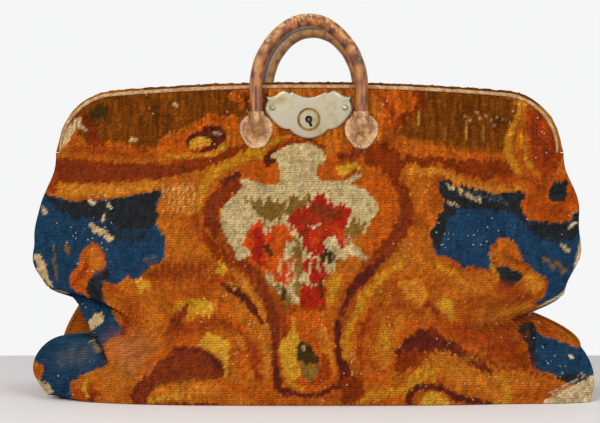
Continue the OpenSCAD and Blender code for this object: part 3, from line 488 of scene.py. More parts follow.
    (LINE, "dark_rust", 4, [(204, 236, 8), (214, 248, 9), (226, 258, 10), (240, 264, 9)]),
    (LINE, "maroon", 3, [(228, 240, 3), (233, 250, 4), (236, 258, 3)]),
    (LINE, "dark_rust", 4, [(390, 178, 7), (402, 190, 12), (407, 206, 14), (403, 222, 15),
        (395, 238, 15), (386, 250, 15), (378, 258, 12)]),
    (GLOW, "maroon", 4, [(406, 206, 7), (402, 224, 9), (392, 242, 10)]),
    (GLOW, "maroon", 4, [(386, 254, 12), (364, 276, 14), (348, 298, 12), (339, 322, 9)]),
    (LINE, "plum", 3.5, [(380, 260, 7), (370, 270, 10), (360, 279, 10), (351, 291, 9), (345, 303, 7),
        (340, 315, 5)]),
    (FIELD, "bright", 4, [(362, 176), (372, 168), (388, 176), (396, 196), (396, 216), (388, 234),
        (376, 246), (366, 252), (360, 244), (368, 232), (374, 218), (378, 206), (374, 196), (364, 190)]),
    (LINE, "amber", 3, [(222, 268, 5), (240, 278, 8), (254, 296, 8), (264, 316, 6), (268, 330, 4)]),
    (LINE, "dark_rust", 4, [(240, 263, 8), (256, 277, 11), (265, 295, 12), (272, 314, 12),
        (276, 332, 9)]),
    (GLOW, "maroon", 4, [(252, 270, 12), (266, 296, 14), (274, 322, 12)]),
    (LINE, "maroon", 4, [(262, 286, 4), (269, 302, 6), (274, 320, 7), (275, 338, 8), (275, 356, 8),
        (277, 378, 9), (285, 395, 7)]),
    (LINE, "plum", 4, [(275, 340, 4), (276, 362, 5), (278, 382, 7), (283, 393, 5)]),
    (LINE, "plum", 2, [(218, 280, 3), (228, 288, 8), (238, 294, 9), (246, 299, 8), (254, 310, 7),
        (262, 322, 4)]),
    (FIELD, "yellow", 3, [(217, 272), (219, 264), (224, 264), (226, 270), (222, 276)]),
    (LINE, "yellow", 3, [(228, 280, 2), (232, 286, 3), (238, 286, 2)]),
    (GLOW, "dark_rust", 3, [(150, 276, 10), (180, 272, 12), (204, 266, 10)]),
    (GLOW, "red", 3, [(206, 282, 12), (230, 276, 12)]),
    *[(LINE, "dark_rust", 2, [(x, 263, 2.2), (x + 1, 272, 2.0), (x, 280, 1.0)])
        for x in range(150, 206, 6)],
    (FIELD, "rust", 3, [(340, 262), (354, 260), (350, 272), (338, 290), (334, 304), (325, 306),
        (325, 292), (330, 278)]),
    (FIELD, "ochre", 2, [(336, 272), (341, 276), (338, 288), (333, 303), (327, 304), (327, 292),
        (331, 280)]),
    # Flowers on their pale medallion
    (FIELD, "bright", 3, [(318, 166), (326, 160), (336, 152), (340, 168), (345, 179), (336, 181),
        (320, 181), (316, 172)]),
    (FIELD, "yellow", 3, [(336, 167), (346, 163), (357, 164), (360, 168), (350, 172), (344, 176),
        (336, 173)]),
    (FIELD, "bright", 3, [(240, 170), (262, 162), (278, 166), (283, 174), (276, 185), (262, 185),
        (248, 178)]),
    (FIELD, "ochre", 2, [(256, 158), (262, 146), (272, 139), (290, 136), (281, 142), (268, 148),
        (262, 158)]),
    (FIELD, "plum", 2, [(263, 158), (266, 152), (276, 148), (280, 150), (274, 156), (277, 162),
        (272, 166), (264, 164)]),
    (LINE, "dark_rust", 2.5, [(276, 148, 3), (284, 144, 4), (298, 141, 4), (312, 142, 4), (324, 148, 4)]),
    (FIELD, "cream", 1, [(271, 156), (279, 151), (286, 146), (294, 143.5), (312, 144), (322, 150),
        (326, 156), (322, 163), (317, 168), (317, 176), (321, 180), (338, 181), (346, 180), (358, 174),
        (362, 174), (356, 181), (350, 184), (358, 187), (366, 191), (373, 197), (377, 203), (377, 212),
        (371, 219), (369, 226), (364, 233), (356, 232), (352, 240), (350, 248), (338, 258), (330, 272),
        (322, 284), (316, 300), (294, 304), (284, 301), (276, 290), (268, 281), (262, 268), (250, 256),
        (238, 260), (234, 248), (228, 240), (222, 228), (220, 216), (224, 205), (232, 199), (238, 192),
        (242, 186), (242, 180), (246, 178), (250, 181), (258, 182), (264, 185), (272, 185), (279, 182),
        (281, 176), (279, 168), (277, 161)]),
    (FIELD, "leaf", 6, [(248, 200), (256, 197), (266, 200), (280, 201), (292, 198), (304, 195),
        (310, 199), (304, 208), (296, 212), (284, 216), (272, 224), (262, 219), (256, 210), (248, 208)]),
    (LINE, "tan", 3, [(286, 198, 1.5), (287, 208, 1.5)]),
    (FIELD, "flame", 5, [(244, 238), (250, 226), (256, 222), (263, 223), (266, 231), (274, 228),
        (286, 226), (292, 236), (296, 250), (300, 262), (296, 276), (288, 284), (278, 284), (268, 276),
        (258, 268), (250, 260), (247, 250)]),
    (LINE, "crimson", 3, [(257, 232, 8), (260, 246, 9), (256, 258, 7), (264, 264, 4)]),
    (GLOW, "bright", 3, [(282, 232, 10), (278, 250, 12), (272, 268, 14)]),
    (LINE, "moss", 3, [(266, 246, 6), (271, 254, 5)]),
    (FIELD, "crimson", 5, [(288, 218), (296, 212), (306, 208), (311, 200), (316, 198), (320, 192),
        (325, 193), (326, 200), (332, 206), (340, 202), (344, 208), (351, 209), (348, 218), (344, 226),
        (349, 234), (346, 244), (338, 248), (330, 242), (322, 254), (308, 252), (300, 240), (294, 230)]),
    (FIELD, "maroon", 3, [(310, 206), (318, 203), (330, 208), (343, 211), (339, 220), (328, 224),
        (318, 220), (312, 216)]),
    (LINE, "maroon", 3, [(303, 236, 5), (309, 226, 5)]),
    (GLOW, "flame", 3, [(314, 240, 10), (326, 226, 8)]),
    (GLOW, "maroon", 3, [(300, 220, 7), (314, 224, 8)]),
    (GLOW, "flame", 3, [(338, 230, 8), (344, 242, 7)]),
    (LINE, "thread", 2, [(312, 227, 2), (319, 225, 1.5)]),
    (FIELD, "cream", 3, [(284, 244), (292, 241), (296, 249), (292, 258), (286, 256)]),
    (FIELD, "cream", 3, [(324, 240), (334, 237), (337, 246), (328, 250)]),
    (FIELD, "cream", 3, [(334, 252), (346, 248), (354, 245), (362, 252), (368, 259), (356, 258),
        (346, 257), (336, 260)]),
    (FIELD, "leaf", 6, [(350, 222), (358, 219), (369, 222), (367, 233), (356, 235), (350, 240),
        (346, 230)]),
    (FIELD, "moss", 3, [(321, 254), (330, 250), (336, 256), (332, 264), (324, 263)]),
    (FIELD, "crimson", 5, [(304, 262), (314, 257), (325, 262), (326, 276), (316, 284), (306, 278)]),
    (FIELD, "crimson", 5, [(298, 291), (306, 285), (318, 285), (323, 291), (323, 302), (312, 309),
        (302, 303)]),
    (LINE, "leaf", 5, [(296, 238, 6), (298, 258, 8), (299, 278, 7), (296, 292, 5)]),
    (LINE, "leaf", 5, [(274, 286, 5), (284, 295, 8), (288, 305, 5)]),
    (LINE, "moss", 4, [(282, 290, 4), (286, 299, 5)]),
    (LINE, "moss", 4, [(320, 280, 5), (322, 292, 4)]),
    *[(LINE, "cream", 2.5, [(x, 258, 1.5), (x + 1, 272, 1.8), (x, y, 1.0)]) for x, y in ((279, 276),
        (288, 292), (293, 300), (310, 274), (318, 268), (327, 276), (333, 270))],
    (LINE, "red", 4, [(290, 308, 6), (306, 312, 7), (322, 308, 6)]),
    # The drop under the flowers
    (FIELD, "bright", 2, [(288, 320), (300, 310), (318, 312), (330, 322), (336, 340), (337, 360),
        (336, 376), (330, 386), (316, 392), (300, 392), (288, 388), (281, 374), (279, 352), (282, 334)]),
    (GLOW, "amber", 3, [(322, 332, 10), (328, 350, 10), (331, 370, 7)]),
    (FIELD, "yellow", 2, [(282, 342), (288, 334), (294, 331), (299, 338), (300, 345), (297, 352),
        (298, 366), (300, 375), (294, 380), (286, 375), (281, 360)]),
    (LINE, "yellow", 1.5, [(292, 316, 1.5), (294, 328, 3), (296, 338, 4)]),
    (LINE, "ochre", 2, [(284, 372, 4), (292, 384, 5), (304, 388, 4)]),
    (FIELD, "moss", 2, [(297, 346), (304, 342), (312, 346), (318, 355), (318, 363), (310, 365),
        (300, 361)]),
    (FIELD, "leaf", 3, [(298, 362), (312, 366), (319, 365), (319, 376), (310, 380), (302, 377)]),
    (LINE, "tan", 1.5, [(303, 345, 2), (304, 349, 3)]),
    (FIELD, "red", 2.5, [(320, 352), (330, 360), (330, 376), (322, 384), (306, 385), (316, 379),
        (321, 366)]),
    (LINE, "red", 3, [(283, 318, 5), (286, 330, 6), (282, 338, 3)]),
    (LINE, "plum", 2.5, [(337, 322, 5), (338, 340, 6), (339, 358, 7), (345, 370, 10), (340, 384, 7),
        (330, 389, 5), (318, 395, 5), (300, 395, 5), (287, 390, 6)]),
    # Lower left scroll
    (GLOW, "pink", 3, [(122, 346, 22), (138, 352, 28), (130, 364, 18)]),
    (FIELD, "maroon", 3, [(131, 402), (134, 388), (146, 376), (158, 362), (170, 352), (180, 347),
        (192, 346), (204, 350), (214, 356), (223, 364), (223, 375), (216, 380), (196, 381), (180, 382),
        (164, 386), (150, 392), (144, 404)]),
    (LINE, "plum", 4, [(172, 353, 4), (186, 349, 6), (200, 351, 6), (214, 360, 5), (220, 370, 4)]),
    (LINE, "bright", 3, [(138, 374, 4), (150, 362, 5), (166, 350, 6), (182, 343, 6), (198, 343, 5),
        (214, 352, 3)]),
    (FIELD, "yellow", 3, [(199, 342), (206, 334), (218, 336), (228, 344), (230, 356), (229, 368),
        (226, 377), (224, 366), (220, 358), (210, 350), (202, 347)]),
    (GLOW, "dark_rust", 3, [(204, 326, 10), (222, 322, 9), (234, 330, 8)]),
    (LINE, "bright", 4, [(188, 322, 4), (204, 315, 6), (222, 314, 7), (238, 324, 7), (244, 345, 7),
        (244, 375, 7)]),
    (LINE, "red", 4, [(236, 330, 4), (248, 342, 7), (256, 360, 8), (256, 380, 6)]),
    (LINE, "bright", 4, [(222, 386, 6), (240, 388, 7), (256, 396, 6), (266, 388, 5)]),
    (LINE, "amber", 3, [(240, 336, 7), (243, 344, 6)]),
    (LINE, "amber", 4, [(262, 330, 5), (266, 350, 6), (266, 376, 6)]),
    (FIELD, "ochre", 3, [(173, 312), (176, 304), (186, 300), (200, 300), (212, 302), (214, 308),
        (204, 312), (194, 319), (186, 318), (184, 311)]),
    (FIELD, "yellow", 4, [(196, 302), (212, 302), (212, 314), (198, 314)]),
    (FIELD, "maroon", 2, [(171, 322), (175, 316), (180, 312), (185, 304), (188, 308), (184, 318),
        (181, 322), (176, 329), (171, 330)]),
    (FIELD, "yellow", 4, [(136, 284), (142, 279), (149, 283), (148, 290), (141, 291)]),
    (GLOW, "dark_rust", 3, [(168, 334, 8), (180, 328, 8), (190, 330, 6)]),
    (LINE, "dark_rust", 4, [(120, 314, 3), (126, 324, 5), (122, 334, 3)]),
    (LINE, "dark_rust", 3, [(90, 398, 7), (98, 394, 5)]),
    (LINE, "yellow", 3, [(86, 378, 2), (84, 388, 4), (87, 397, 3)]),
    (LINE, "yellow", 4, [(150, 401, 4), (168, 397, 6), (192, 391, 5)]),
    (GLOW, "amber", 3, [(160, 392, 10), (190, 390, 14), (214, 390, 12)]),
    (LINE, "maroon", 3, [(156, 407, 4), (190, 405, 5), (216, 407, 4)]),
    # Lower right scroll
    (LINE, "ochre", 3, [(402, 262, 5), (390, 271, 6), (376, 282, 7), (364, 298, 8), (356, 314, 8),
        (350, 328, 8), (346, 342, 6), (345, 356, 4)]),
    (FIELD, "amber", 4, [(396, 284), (410, 279), (424, 284), (424, 304), (408, 300)]),
    (LINE, "red", 4, [(370, 312, 6), (363, 328, 7), (359, 346, 7), (362, 366, 6)]),
    (GLOW, "amber", 3, [(384, 332, 10), (382, 348, 8), (388, 366, 8)]),
    (GLOW, "dark_rust", 3, [(380, 308, 10), (400, 306, 10), (420, 312, 10)]),
    (GLOW, "red", 3, [(366, 352, 12), (376, 368, 12)]),
    (LINE, "bright", 4, [(414, 324, 6), (402, 334, 6), (396, 346, 5)]),
    (LINE, "bright", 4, [(360, 378, 7), (374, 380, 8), (388, 372, 8), (396, 360, 8)]),
    (FIELD, "plum", 3, [(396, 352), (402, 341), (412, 334), (422, 329), (434, 328), (442, 334),
        (452, 341), (464, 350), (478, 360), (490, 368), (496, 375), (484, 371), (468, 363), (454, 354),
        (440, 349), (424, 350), (410, 356)]),
    (FIELD, "dark_rust", 4, [(398, 352), (424, 350), (440, 350), (424, 358), (412, 368), (400, 374),
        (396, 362)]),
    (GLOW, "amber", 3, [(430, 364, 12), (450, 368, 14), (470, 378, 14), (494, 390, 12)]),
    (FIELD, "ochre", 4, [(402, 382), (412, 374), (426, 366), (436, 372), (430, 380), (414, 388),
        (402, 394)]),
    (LINE, "ochre", 4, [(360, 400, 7), (378, 395, 8), (396, 392, 7)]),
    (FIELD, "dark_rust", 4, [(341, 382), (350, 376), (362, 382), (366, 392), (356, 404), (343, 404)]),
    (GLOW, "dark_rust", 3, [(494, 308, 16), (512, 302, 14), (530, 298, 8)]),
    # Painted shade: a soft maroon glow beside the right fold
    (GLOW, "maroon", 3, [(516, 318, 9), (528, 310, 8)]),
    (GLOW, "dark_rust", 3, [(508, 338, 9), (514, 354, 9), (522, 366, 7)]),
    (GLOW, "dark_rust", 3, [(470, 304, 12), (486, 298, 10)]),
    (GLOW, "red", 3, [(500, 288, 9), (520, 292, 10)]),
    (FIELD, "ochre", 3, [(382, 330), (388, 334), (391, 345), (386, 349), (381, 342)]),
    # Painted highlights (amber) on the lower right creases and painted shade (maroon) just under them
    (GLOW, "amber", 2, [(528, 306, 6), (505, 313, 7), (480, 326, 6)]),
    (GLOW, "maroon", 2, [(533, 319, 6), (505, 328, 6), (478, 342, 5)]),
    (GLOW, "amber", 2, [(516, 339, 5), (490, 353, 6), (465, 358, 5)]),
    (GLOW, "maroon", 2, [(526, 334, 5), (505, 350, 6), (470, 366, 5)]),
    (FIELD, "yellow", 4, [(438, 304), (446, 300), (452, 310), (457, 318), (450, 323), (442, 316)]),
    (LINE, "dark_rust", 4, [(428, 302, 6), (434, 310, 7), (440, 320, 4)]),
    (GLOW, "dark_rust", 3, [(492, 348, 12), (512, 350, 14), (528, 364, 9)]),
    (LINE, "maroon", 5, [(458, 346, 3), (480, 358, 4), (504, 368, 3)]),
    (LINE, "maroon", 5, [(510, 362, 3), (534, 371, 4), (552, 376, 2)]),
    (GLOW, "dark_rust", 3, [(462, 330, 12), (480, 326, 16), (500, 328, 12)]),
    (GLOW, "red", 3, [(440, 322, 18), (470, 338, 22), (505, 350, 20)]),
    # Painted shade along the dark insides of the folds
    *[(LINE, "fold", 0.5, [(x, y + 1.2, min(deep, 9) / 4) for x, y, deep in points])
        for points in ledges],
    (LINE, "plum", 2.5, [(408, 402, 7), (412, 393, 7), (420, 388, 7), (432, 386, 7), (444, 390, 7),
        (454, 396, 8), (468, 400, 8), (488, 405, 6)]),
    (FIELD, "yellow", 3, [(420, 399), (428, 393), (437, 394), (448, 401), (446, 408), (422, 408)]),
    (LINE, "ochre", 4, [(498, 376, 6), (508, 390, 7), (504, 402, 7)]),
    *[(LINE, "straw", 0.2, [(x, 376 + (x - 488) / 6, 1.6), (x + 1, 377 + (x - 488) / 6, 1.4)])
        for x in range(488, 542, 7)],
]


# How unevenly the wool is dyed, woven and worn: sizes in photo pixels, and shares of a colour
ground_size, ground_seed = 22.0, 1
amber_most, amber_span = 0.45, (0.1, 0.9)
red_most, red_span = 0.65, (0.0, 0.8)
wobble_size, wobble_share, wobble_seed = 5.0, 0.7, 20
column_w, column_squash, column_share = 2.2, 0.12, 1.5
grain_spread, grain_share = 0.4, 0.35
line_steps, line_soft = 4, 0.6
glow_most, glow_tight = 0.75, 1.6
streak_w, streak_seed, streak_low, streak_high = 1.6, 5, 0.16, 0.5
streak_y, streak_run = 160.0, 25.0
patches, patch_seed = [(0.12, 9.0), (0.20, 3.6)], 6
tuft_spread = 0.17


def srgb_to_linear(rgb):
    """The standard sRGB curve, from 0 to 255."""
    c = np.asarray(rgb, float) / 255.0
    return np.where(c <= 0.04045, c / 12.92, ((c + 0.055) / 1.055) ** 2.4)


def dye_over(colour, rgb, amount):
    """Colours with another one laid over them by an amount at each point."""
    return mix(colour, srgb_to_linear(rgb), amount[:, None])


def weave_colours(seen, seed):
    """The colour of each tuft of a carpet, from the drawing, the way the wool was dyed and its wear."""
    rng = np.random.default_rng(seed)
    flat = seen.reshape(-1, 2)
    x, y = flat[:, 0], flat[:, 1]
    colour = np.tile(srgb_to_linear(dyes["rust"]), (len(flat), 1))
    warm = cloth_noise(x, y, ground_size, seed + ground_seed)
    colour = dye_over(colour, dyes["amber"], amber_most * share(warm, *amber_span))
    colour = dye_over(colour, dyes["red"], red_most * share(-warm, *red_span))
    for n, (kind, dye, ragged, points) in enumerate(drawing):
        # Each column of tufts starts and ends a colour a little higher or lower than the next
        first = seed + wobble_seed + 2 * n
        sideways = cloth_noise(x, y, wobble_size, first)
        columns = column_share * cloth_noise(x, y * column_squash, column_w, first + 1)
        wobble = np.stack((sideways, columns), axis=-1)
        grain = rng.normal(0.0, grain_spread, flat.shape)
        at = flat + ragged * (wobble_share * wobble + grain_share * grain)
        if kind == FIELD:
            covered = inside(at, smooth_line(points, True)).astype(float)
        else:
            gap, width = line_distance(at, smooth_line(points, False, line_steps))
            if kind == LINE:
                covered = share(width / 2 - gap, -line_soft, line_soft)
            else:
                covered = glow_most * np.exp(-(gap / width * glow_tight) ** 2)
        colour = dye_over(colour, dyes[dye], covered)
    # Vertical streaks of wear, strongest under the rim, and the spread of each dye from tuft to tuft
    streak = cloth_noise(x, y * column_squash, streak_w, seed + streak_seed)
    colour *= (1.0 + mix(streak_low, streak_high, share(streak_y - y, 0.0, streak_run)) * streak)[:, None]
    for k, (amount, size) in enumerate(patches):
        colour *= (1.0 + amount * cloth_noise(x, y, size, seed + patch_seed + k))[:, None]
    colour *= rng.normal(1.0, tuft_spread, (len(flat), 1))
    return np.clip(colour, 0.0, 1.0).reshape(seen.shape[:2] + (3,))


# Making meshes
def new_mesh(name, points, faces):
    """A smooth piece from points in millimetres."""
    mesh = bpy.data.meshes.new(name)
    mesh.from_pydata((np.asarray(points) * MM).tolist(), [], [list(map(int, f)) for f in faces])
    mesh.validate()
    mesh.polygons.foreach_set("use_smooth", [True] * len(mesh.polygons))
    piece = bpy.data.objects.new(name, mesh)
    bpy.context.collection.objects.link(piece)
    return piece


def turn_out(piece):
    """Make all faces of a closed piece look outwards."""
    work = bmesh.new()
    work.from_mesh(piece.data)
    bmesh.ops.recalc_face_normals(work, faces=work.faces)
    work.to_mesh(piece.data)
    work.free()


def grid_faces(rows, cols, start=0, flip=False, wrap=False):
    """Four-sided faces of a grid of points, whose last column may join the first."""
    i, j = np.meshgrid(np.arange(rows - 1), np.arange(cols if wrap else cols - 1), indexing="ij")
    k = (j + 1) % cols
    corners = (i * cols + j, i * cols + k, (i + 1) * cols + k, (i + 1) * cols + j)
    quads = np.stack(corners, axis=-1).reshape(-1, 4)
    return (quads[:, ::-1] if flip else quads) + start


def shell_faces(rows, cols, flip=False, holes=None):
    """Faces of a closed sheet: a front grid, a back grid and the edges between them and round any holes."""
    back = rows * cols
    front_faces = grid_faces(rows, cols)
    back_faces = grid_faces(rows, cols, back, flip=True)
    walls = np.zeros((0, 4), int)
    if holes is not None:
        gone = holes.reshape(-1)
        pairs = {}
        for quad in front_faces[gone]:
            for a, b in zip(quad, np.roll(quad, -1)):
                pairs[int(a), int(b)] = True
        rims = [(a, b, b + back, a + back) for a, b in pairs if (b, a) not in pairs]
        walls = np.array(rims, int).reshape(-1, 4)
        front_faces, back_faces = front_faces[~gone], back_faces[~gone]
    right = np.arange(1, rows) * cols + cols - 1
    top = (rows - 1) * cols + np.arange(cols - 2, -1, -1)
    left = np.arange(rows - 2, 0, -1) * cols
    border = np.concatenate((np.arange(cols), right, top, left))
    after = np.roll(border, -1)
    edge_faces = np.stack((after, border, border + back, after + back), axis=-1)
    faces = np.concatenate((front_faces, back_faces, edge_faces, walls))
    return (faces[:, ::-1] if flip else faces), len(front_faces), len(back_faces)


def two_materials(piece, first, second, marked):
    """Give a piece two materials, the second one on its marked faces."""
    piece.data.materials.append(first)
    piece.data.materials.append(second)
    piece.data.polygons.foreach_set("material_index", marked.astype(int))


def tint(piece, colours):
    """Paint a colour on each point of a piece."""
    layer = piece.data.color_attributes.new("dye", "FLOAT_COLOR", "POINT")
    rgba = np.concatenate((colours, np.ones((len(colours), 1))), axis=1)
    layer.data.foreach_set("color", rgba.ravel())


# Effects that several materials share
def new_group(name, inputs, outputs):
    """A node group with number sockets, and its two end nodes."""
    group = bpy.data.node_groups.new(name, "ShaderNodeTree")
    for label, value in inputs.items():
        socket = group.interface.new_socket(name=label, in_out="INPUT", socket_type="NodeSocketFloat")
        socket.default_value = value
    for label in outputs:
        group.interface.new_socket(name=label, in_out="OUTPUT", socket_type="NodeSocketFloat")
    return group, group.nodes.new("NodeGroupInput"), group.nodes.new("NodeGroupOutput")


def add(tree, kind, **settings):
    """A new node with its sockets and settings set by name."""
    node = tree.nodes.new(kind)
    for key, value in settings.items():
        if key in node.inputs:
            node.inputs[key].default_value = value
        else:
            setattr(node, key, value)
    return node


def maths(tree, operation, *values):
    """A sum of numbers and of other nodes' outputs."""
    node = add(tree, "ShaderNodeMath", operation=operation)
    for socket, value in zip(node.inputs, values):
        if isinstance(value, (int, float)):
            socket.default_value = value
        else:
            tree.links.new(value, socket)
    return node.outputs[0]


def remap(tree, value, kind, **spans):
    """A value moved from one span to another: From and To are pairs, 0 to 1 where they aren't given."""
    node = add(tree, "ShaderNodeMapRange", interpolation_type=kind)
    for label, span in spans.items():
        for end, number in zip(("Min", "Max"), span):
            node.inputs[f"{label} {end}"].default_value = number
    tree.links.new(value, node.inputs["Value"])
    return node.outputs["Result"]


def pile_group():
    """Rows of cut wool tufts: a height for bump, a shade that differs from tuft to tuft and holds painted
    shade in the hollows and between rows, and a mask of bare threads.
    """
    rib_scale, hollow, tuft_tone, row_tone, row_least = 0.21, -0.5, 0.3, 0.36, 0.84
    wear_slope, wear_limit, bare_share = -0.16, 1.085, 0.45
    group, source, sink = new_group("pile_tufts", {"Tuft": 450.0, "Ribs": 0.4}, ("Height", "Shade", "Bare"))
    links = group.links
    place = add(group, "ShaderNodeTexCoord")
    tufts = add(group, "ShaderNodeTexVoronoi", feature="F1", Randomness=0.75)
    ribs = add(group, "ShaderNodeTexWave", bands_direction="Z", Distortion=1.5, Detail=1.0)
    worn = add(group, "ShaderNodeTexNoise", Scale=22.0, Detail=3.0)
    for texture in (tufts, ribs, worn):
        links.new(place.outputs["Object"], texture.inputs["Vector"])
    links.new(source.outputs["Tuft"], tufts.inputs["Scale"])
    links.new(maths(group, "MULTIPLY", source.outputs["Tuft"], rib_scale), ribs.inputs["Scale"])
    top = maths(group, "SUBTRACT", 1.0, tufts.outputs["Distance"])
    rib = maths(group, "MULTIPLY", ribs.outputs["Fac"], source.outputs["Ribs"])
    links.new(maths(group, "ADD", top, rib), sink.inputs["Height"])
    pick = add(group, "ShaderNodeSeparateColor")
    links.new(tufts.outputs["Color"], pick.inputs["Color"])
    # Painted shade: darker towards the hollow round each tuft
    hollow_shade = maths(group, "MULTIPLY_ADD", tufts.outputs["Distance"], hollow, 1.0)
    tuft_shade = maths(group, "MULTIPLY_ADD", pick.outputs["Red"], tuft_tone, hollow_shade)
    # Painted shade: darker in the troughs between the rows
    row_shade = maths(group, "MULTIPLY_ADD", ribs.outputs["Fac"], row_tone, row_least)
    links.new(maths(group, "MULTIPLY", tuft_shade, row_shade), sink.inputs["Shade"])
    limit = maths(group, "MULTIPLY_ADD", worn.outputs["Fac"], wear_slope, wear_limit)
    bare = maths(group, "GREATER_THAN", pick.outputs["Green"], limit)
    links.new(maths(group, "MULTIPLY", bare, bare_share), sink.inputs["Bare"])
    return group


def grain_group():
    """Leather grain and handling: a fine height, and a mask of rubbed places."""
    rub_span = (0.38, 0.66)
    group, source, sink = new_group("leather_grain", {"Grain": 900.0, "Rub": 60.0}, ("Height", "Rubbed"))
    links = group.links
    place = add(group, "ShaderNodeTexCoord")
    pores = add(group, "ShaderNodeTexVoronoi", feature="F1")
    rubs = add(group, "ShaderNodeTexNoise", Detail=6.0, Roughness=0.65)
    for node, label in ((pores, "Grain"), (rubs, "Rub")):
        links.new(place.outputs["Object"], node.inputs["Vector"])
        links.new(source.outputs[label], node.inputs["Scale"])
    links.new(pores.outputs["Distance"], sink.inputs["Height"])
    links.new(remap(group, rubs.outputs["Fac"], "SMOOTHSTEP", From=rub_span), sink.inputs["Rubbed"])
    return group


def tarnish_group():
    """Patchy tarnish on old metal: a mask and a slight unevenness."""
    stain_span = (0.42, 0.68)
    group, source, sink = new_group("tarnish", {"Size": 70.0}, ("Mask", "Height"))
    links = group.links
    place = add(group, "ShaderNodeTexCoord")
    cloud = add(group, "ShaderNodeTexNoise", Detail=8.0, Roughness=0.7)
    links.new(place.outputs["Object"], cloud.inputs["Vector"])
    links.new(source.outputs["Size"], cloud.inputs["Scale"])
    links.new(remap(group, cloud.outputs["Fac"], "SMOOTHSTEP", From=stain_span), sink.inputs["Mask"])
    links.new(cloud.outputs["Fac"], sink.inputs["Height"])
    return group


pile = pile_group()
grain = grain_group()
tarnish = tarnish_group()


# Materials
def new_material(name, roughness, metallic=0.0, specular=0.5):
    material = bpy.data.materials.new(name)
    material.use_nodes = True
    shader = material.node_tree.nodes["Principled BSDF"]
    shader.inputs["Roughness"].default_value = roughness
    shader.inputs["Metallic"].default_value = metallic
    shader.inputs["Specular IOR Level"].default_value = specular
    return material, material.node_tree, shader


def use(tree, group, **values):
    return add(tree, "ShaderNodeGroup", node_tree=group, **values)


def raise_surface(tree, shader, height, strength, distance):
    bump = add(tree, "ShaderNodeBump", Strength=strength, Distance=distance)
    tree.links.new(height, bump.inputs["Height"])
    tree.links.new(bump.outputs["Normal"], shader.inputs["Normal"])


def blend_colours(tree, mask, a, b):
    """Two colours, each an sRGB one or another node's output, mixed by a mask."""
    node = add(tree, "ShaderNodeMix", data_type="RGBA")
    tree.links.new(mask, node.inputs["Factor"])
    colour_sockets = [socket for socket in node.inputs if socket.type == "RGBA"]
    for socket, value in zip(colour_sockets, (a, b)):
        if isinstance(value, tuple):
            socket.default_value = tuple(srgb_to_linear(value)) + (1.0,)
        else:
            tree.links.new(value, socket)
    return next(socket for socket in node.outputs if socket.type == "RGBA")


def wool_carpet(name, tuft_scale):
    material, tree, shader = new_material(name, roughness=0.95, specular=0.06)
    wool = add(tree, "ShaderNodeAttribute", attribute_name="dye")
    tufts = use(tree, pile, Tuft=tuft_scale)
    # The dye is scaled by the pile's shade, which holds painted shade in the hollows and between rows
    shaded = add(tree, "ShaderNodeVectorMath", operation="SCALE")
    tree.links.new(wool.outputs["Color"], shaded.inputs[0])
    tree.links.new(tufts.outputs["Shade"], shaded.inputs["Scale"])
    flecked = blend_colours(tree, tufts.outputs["Bare"], shaded.outputs["Vector"], dyes["thread"])
    tree.links.new(flecked, shader.inputs["Base Color"])
    raise_surface(tree, shader, tufts.outputs["Height"], strength=0.8, distance=0.0011)
    return material


def plain_cloth(name, light, dark, thread_scale=900.0):
    material, tree, shader = new_material(name, roughness=0.92, specular=0.15)
    threads = use(tree, pile, Tuft=thread_scale, Ribs=0.2)
    # Painted shade: the colour follows the threads' height, darker in the hollows and lighter on the tops
    tree.links.new(blend_colours(tree, threads.outputs["Height"], dark, light), shader.inputs["Base Color"])
    raise_surface(tree, shader, threads.outputs["Height"], strength=0.4, distance=0.0005)
    return material


def leather(name, light, dark, roughness, rub):
    material, tree, shader = new_material(name, roughness)
    skin = use(tree, grain, Rub=rub)
    tree.links.new(blend_colours(tree, skin.outputs["Rubbed"], dark, light), shader.inputs["Base Color"])
    raise_surface(tree, shader, skin.outputs["Height"], strength=0.25, distance=0.0004)
    return material


def worn_leather(name, roughness, rub, duller):
    """Leather whose colour is painted on its points, duller where it is rubbed."""
    material, tree, shader = new_material(name, roughness)
    tone = add(tree, "ShaderNodeAttribute", attribute_name="dye")
    skin = use(tree, grain, Rub=rub)
    tree.links.new(tone.outputs["Color"], shader.inputs["Base Color"])
    shine = remap(tree, skin.outputs["Rubbed"], "LINEAR", To=(roughness, roughness + duller))
    tree.links.new(shine, shader.inputs["Roughness"])
    raise_surface(tree, shader, skin.outputs["Height"], strength=0.3, distance=0.0004)
    return material


def old_metal(name, clean, stained, roughness, size):
    duller = 0.22
    material, tree, shader = new_material(name, roughness, metallic=1.0)
    stain = use(tree, tarnish, Size=size)
    tree.links.new(blend_colours(tree, stain.outputs["Mask"], clean, stained), shader.inputs["Base Color"])
    shine = remap(tree, stain.outputs["Mask"], "LINEAR", To=(roughness, roughness + duller))
    tree.links.new(shine, shader.inputs["Roughness"])
    raise_surface(tree, shader, stain.outputs["Height"], strength=0.15, distance=0.0004)
    return material


carpet_wool = wool_carpet("carpet_wool", tuft_scale=700.0)
lining_linen = plain_cloth("lining_linen", light=(150, 128, 96), dark=(112, 92, 64))
base_cloth = plain_cloth("base_cloth", light=(74, 50, 32), dark=(48, 32, 22))
stitch_thread = plain_cloth("stitch_thread", light=(246, 226, 186), dark=(214, 184, 138), thread_scale=2500.0)
handle_leather = worn_leather("handle_leather", roughness=0.28, rub=120.0, duller=0.25)
tab_leather = leather("tab_leather", light=(214, 170, 122), dark=(146, 98, 60), roughness=0.26, rub=120.0)
binding_leather = leather("binding_leather", light=(196, 160, 114), dark=(152, 114, 72),
                          roughness=0.85, rub=260.0)
nickel = old_metal("nickel_plate", clean=(166, 158, 138), stained=(150, 132, 92), roughness=0.4, size=48.0)
brass = old_metal("dull_brass", clean=(140, 108, 56), stained=(92, 68, 34), roughness=0.4, size=160.0)
steel = old_metal("jaw_steel", clean=(128, 122, 114), stained=(86, 74, 62), roughness=0.45, size=120.0)


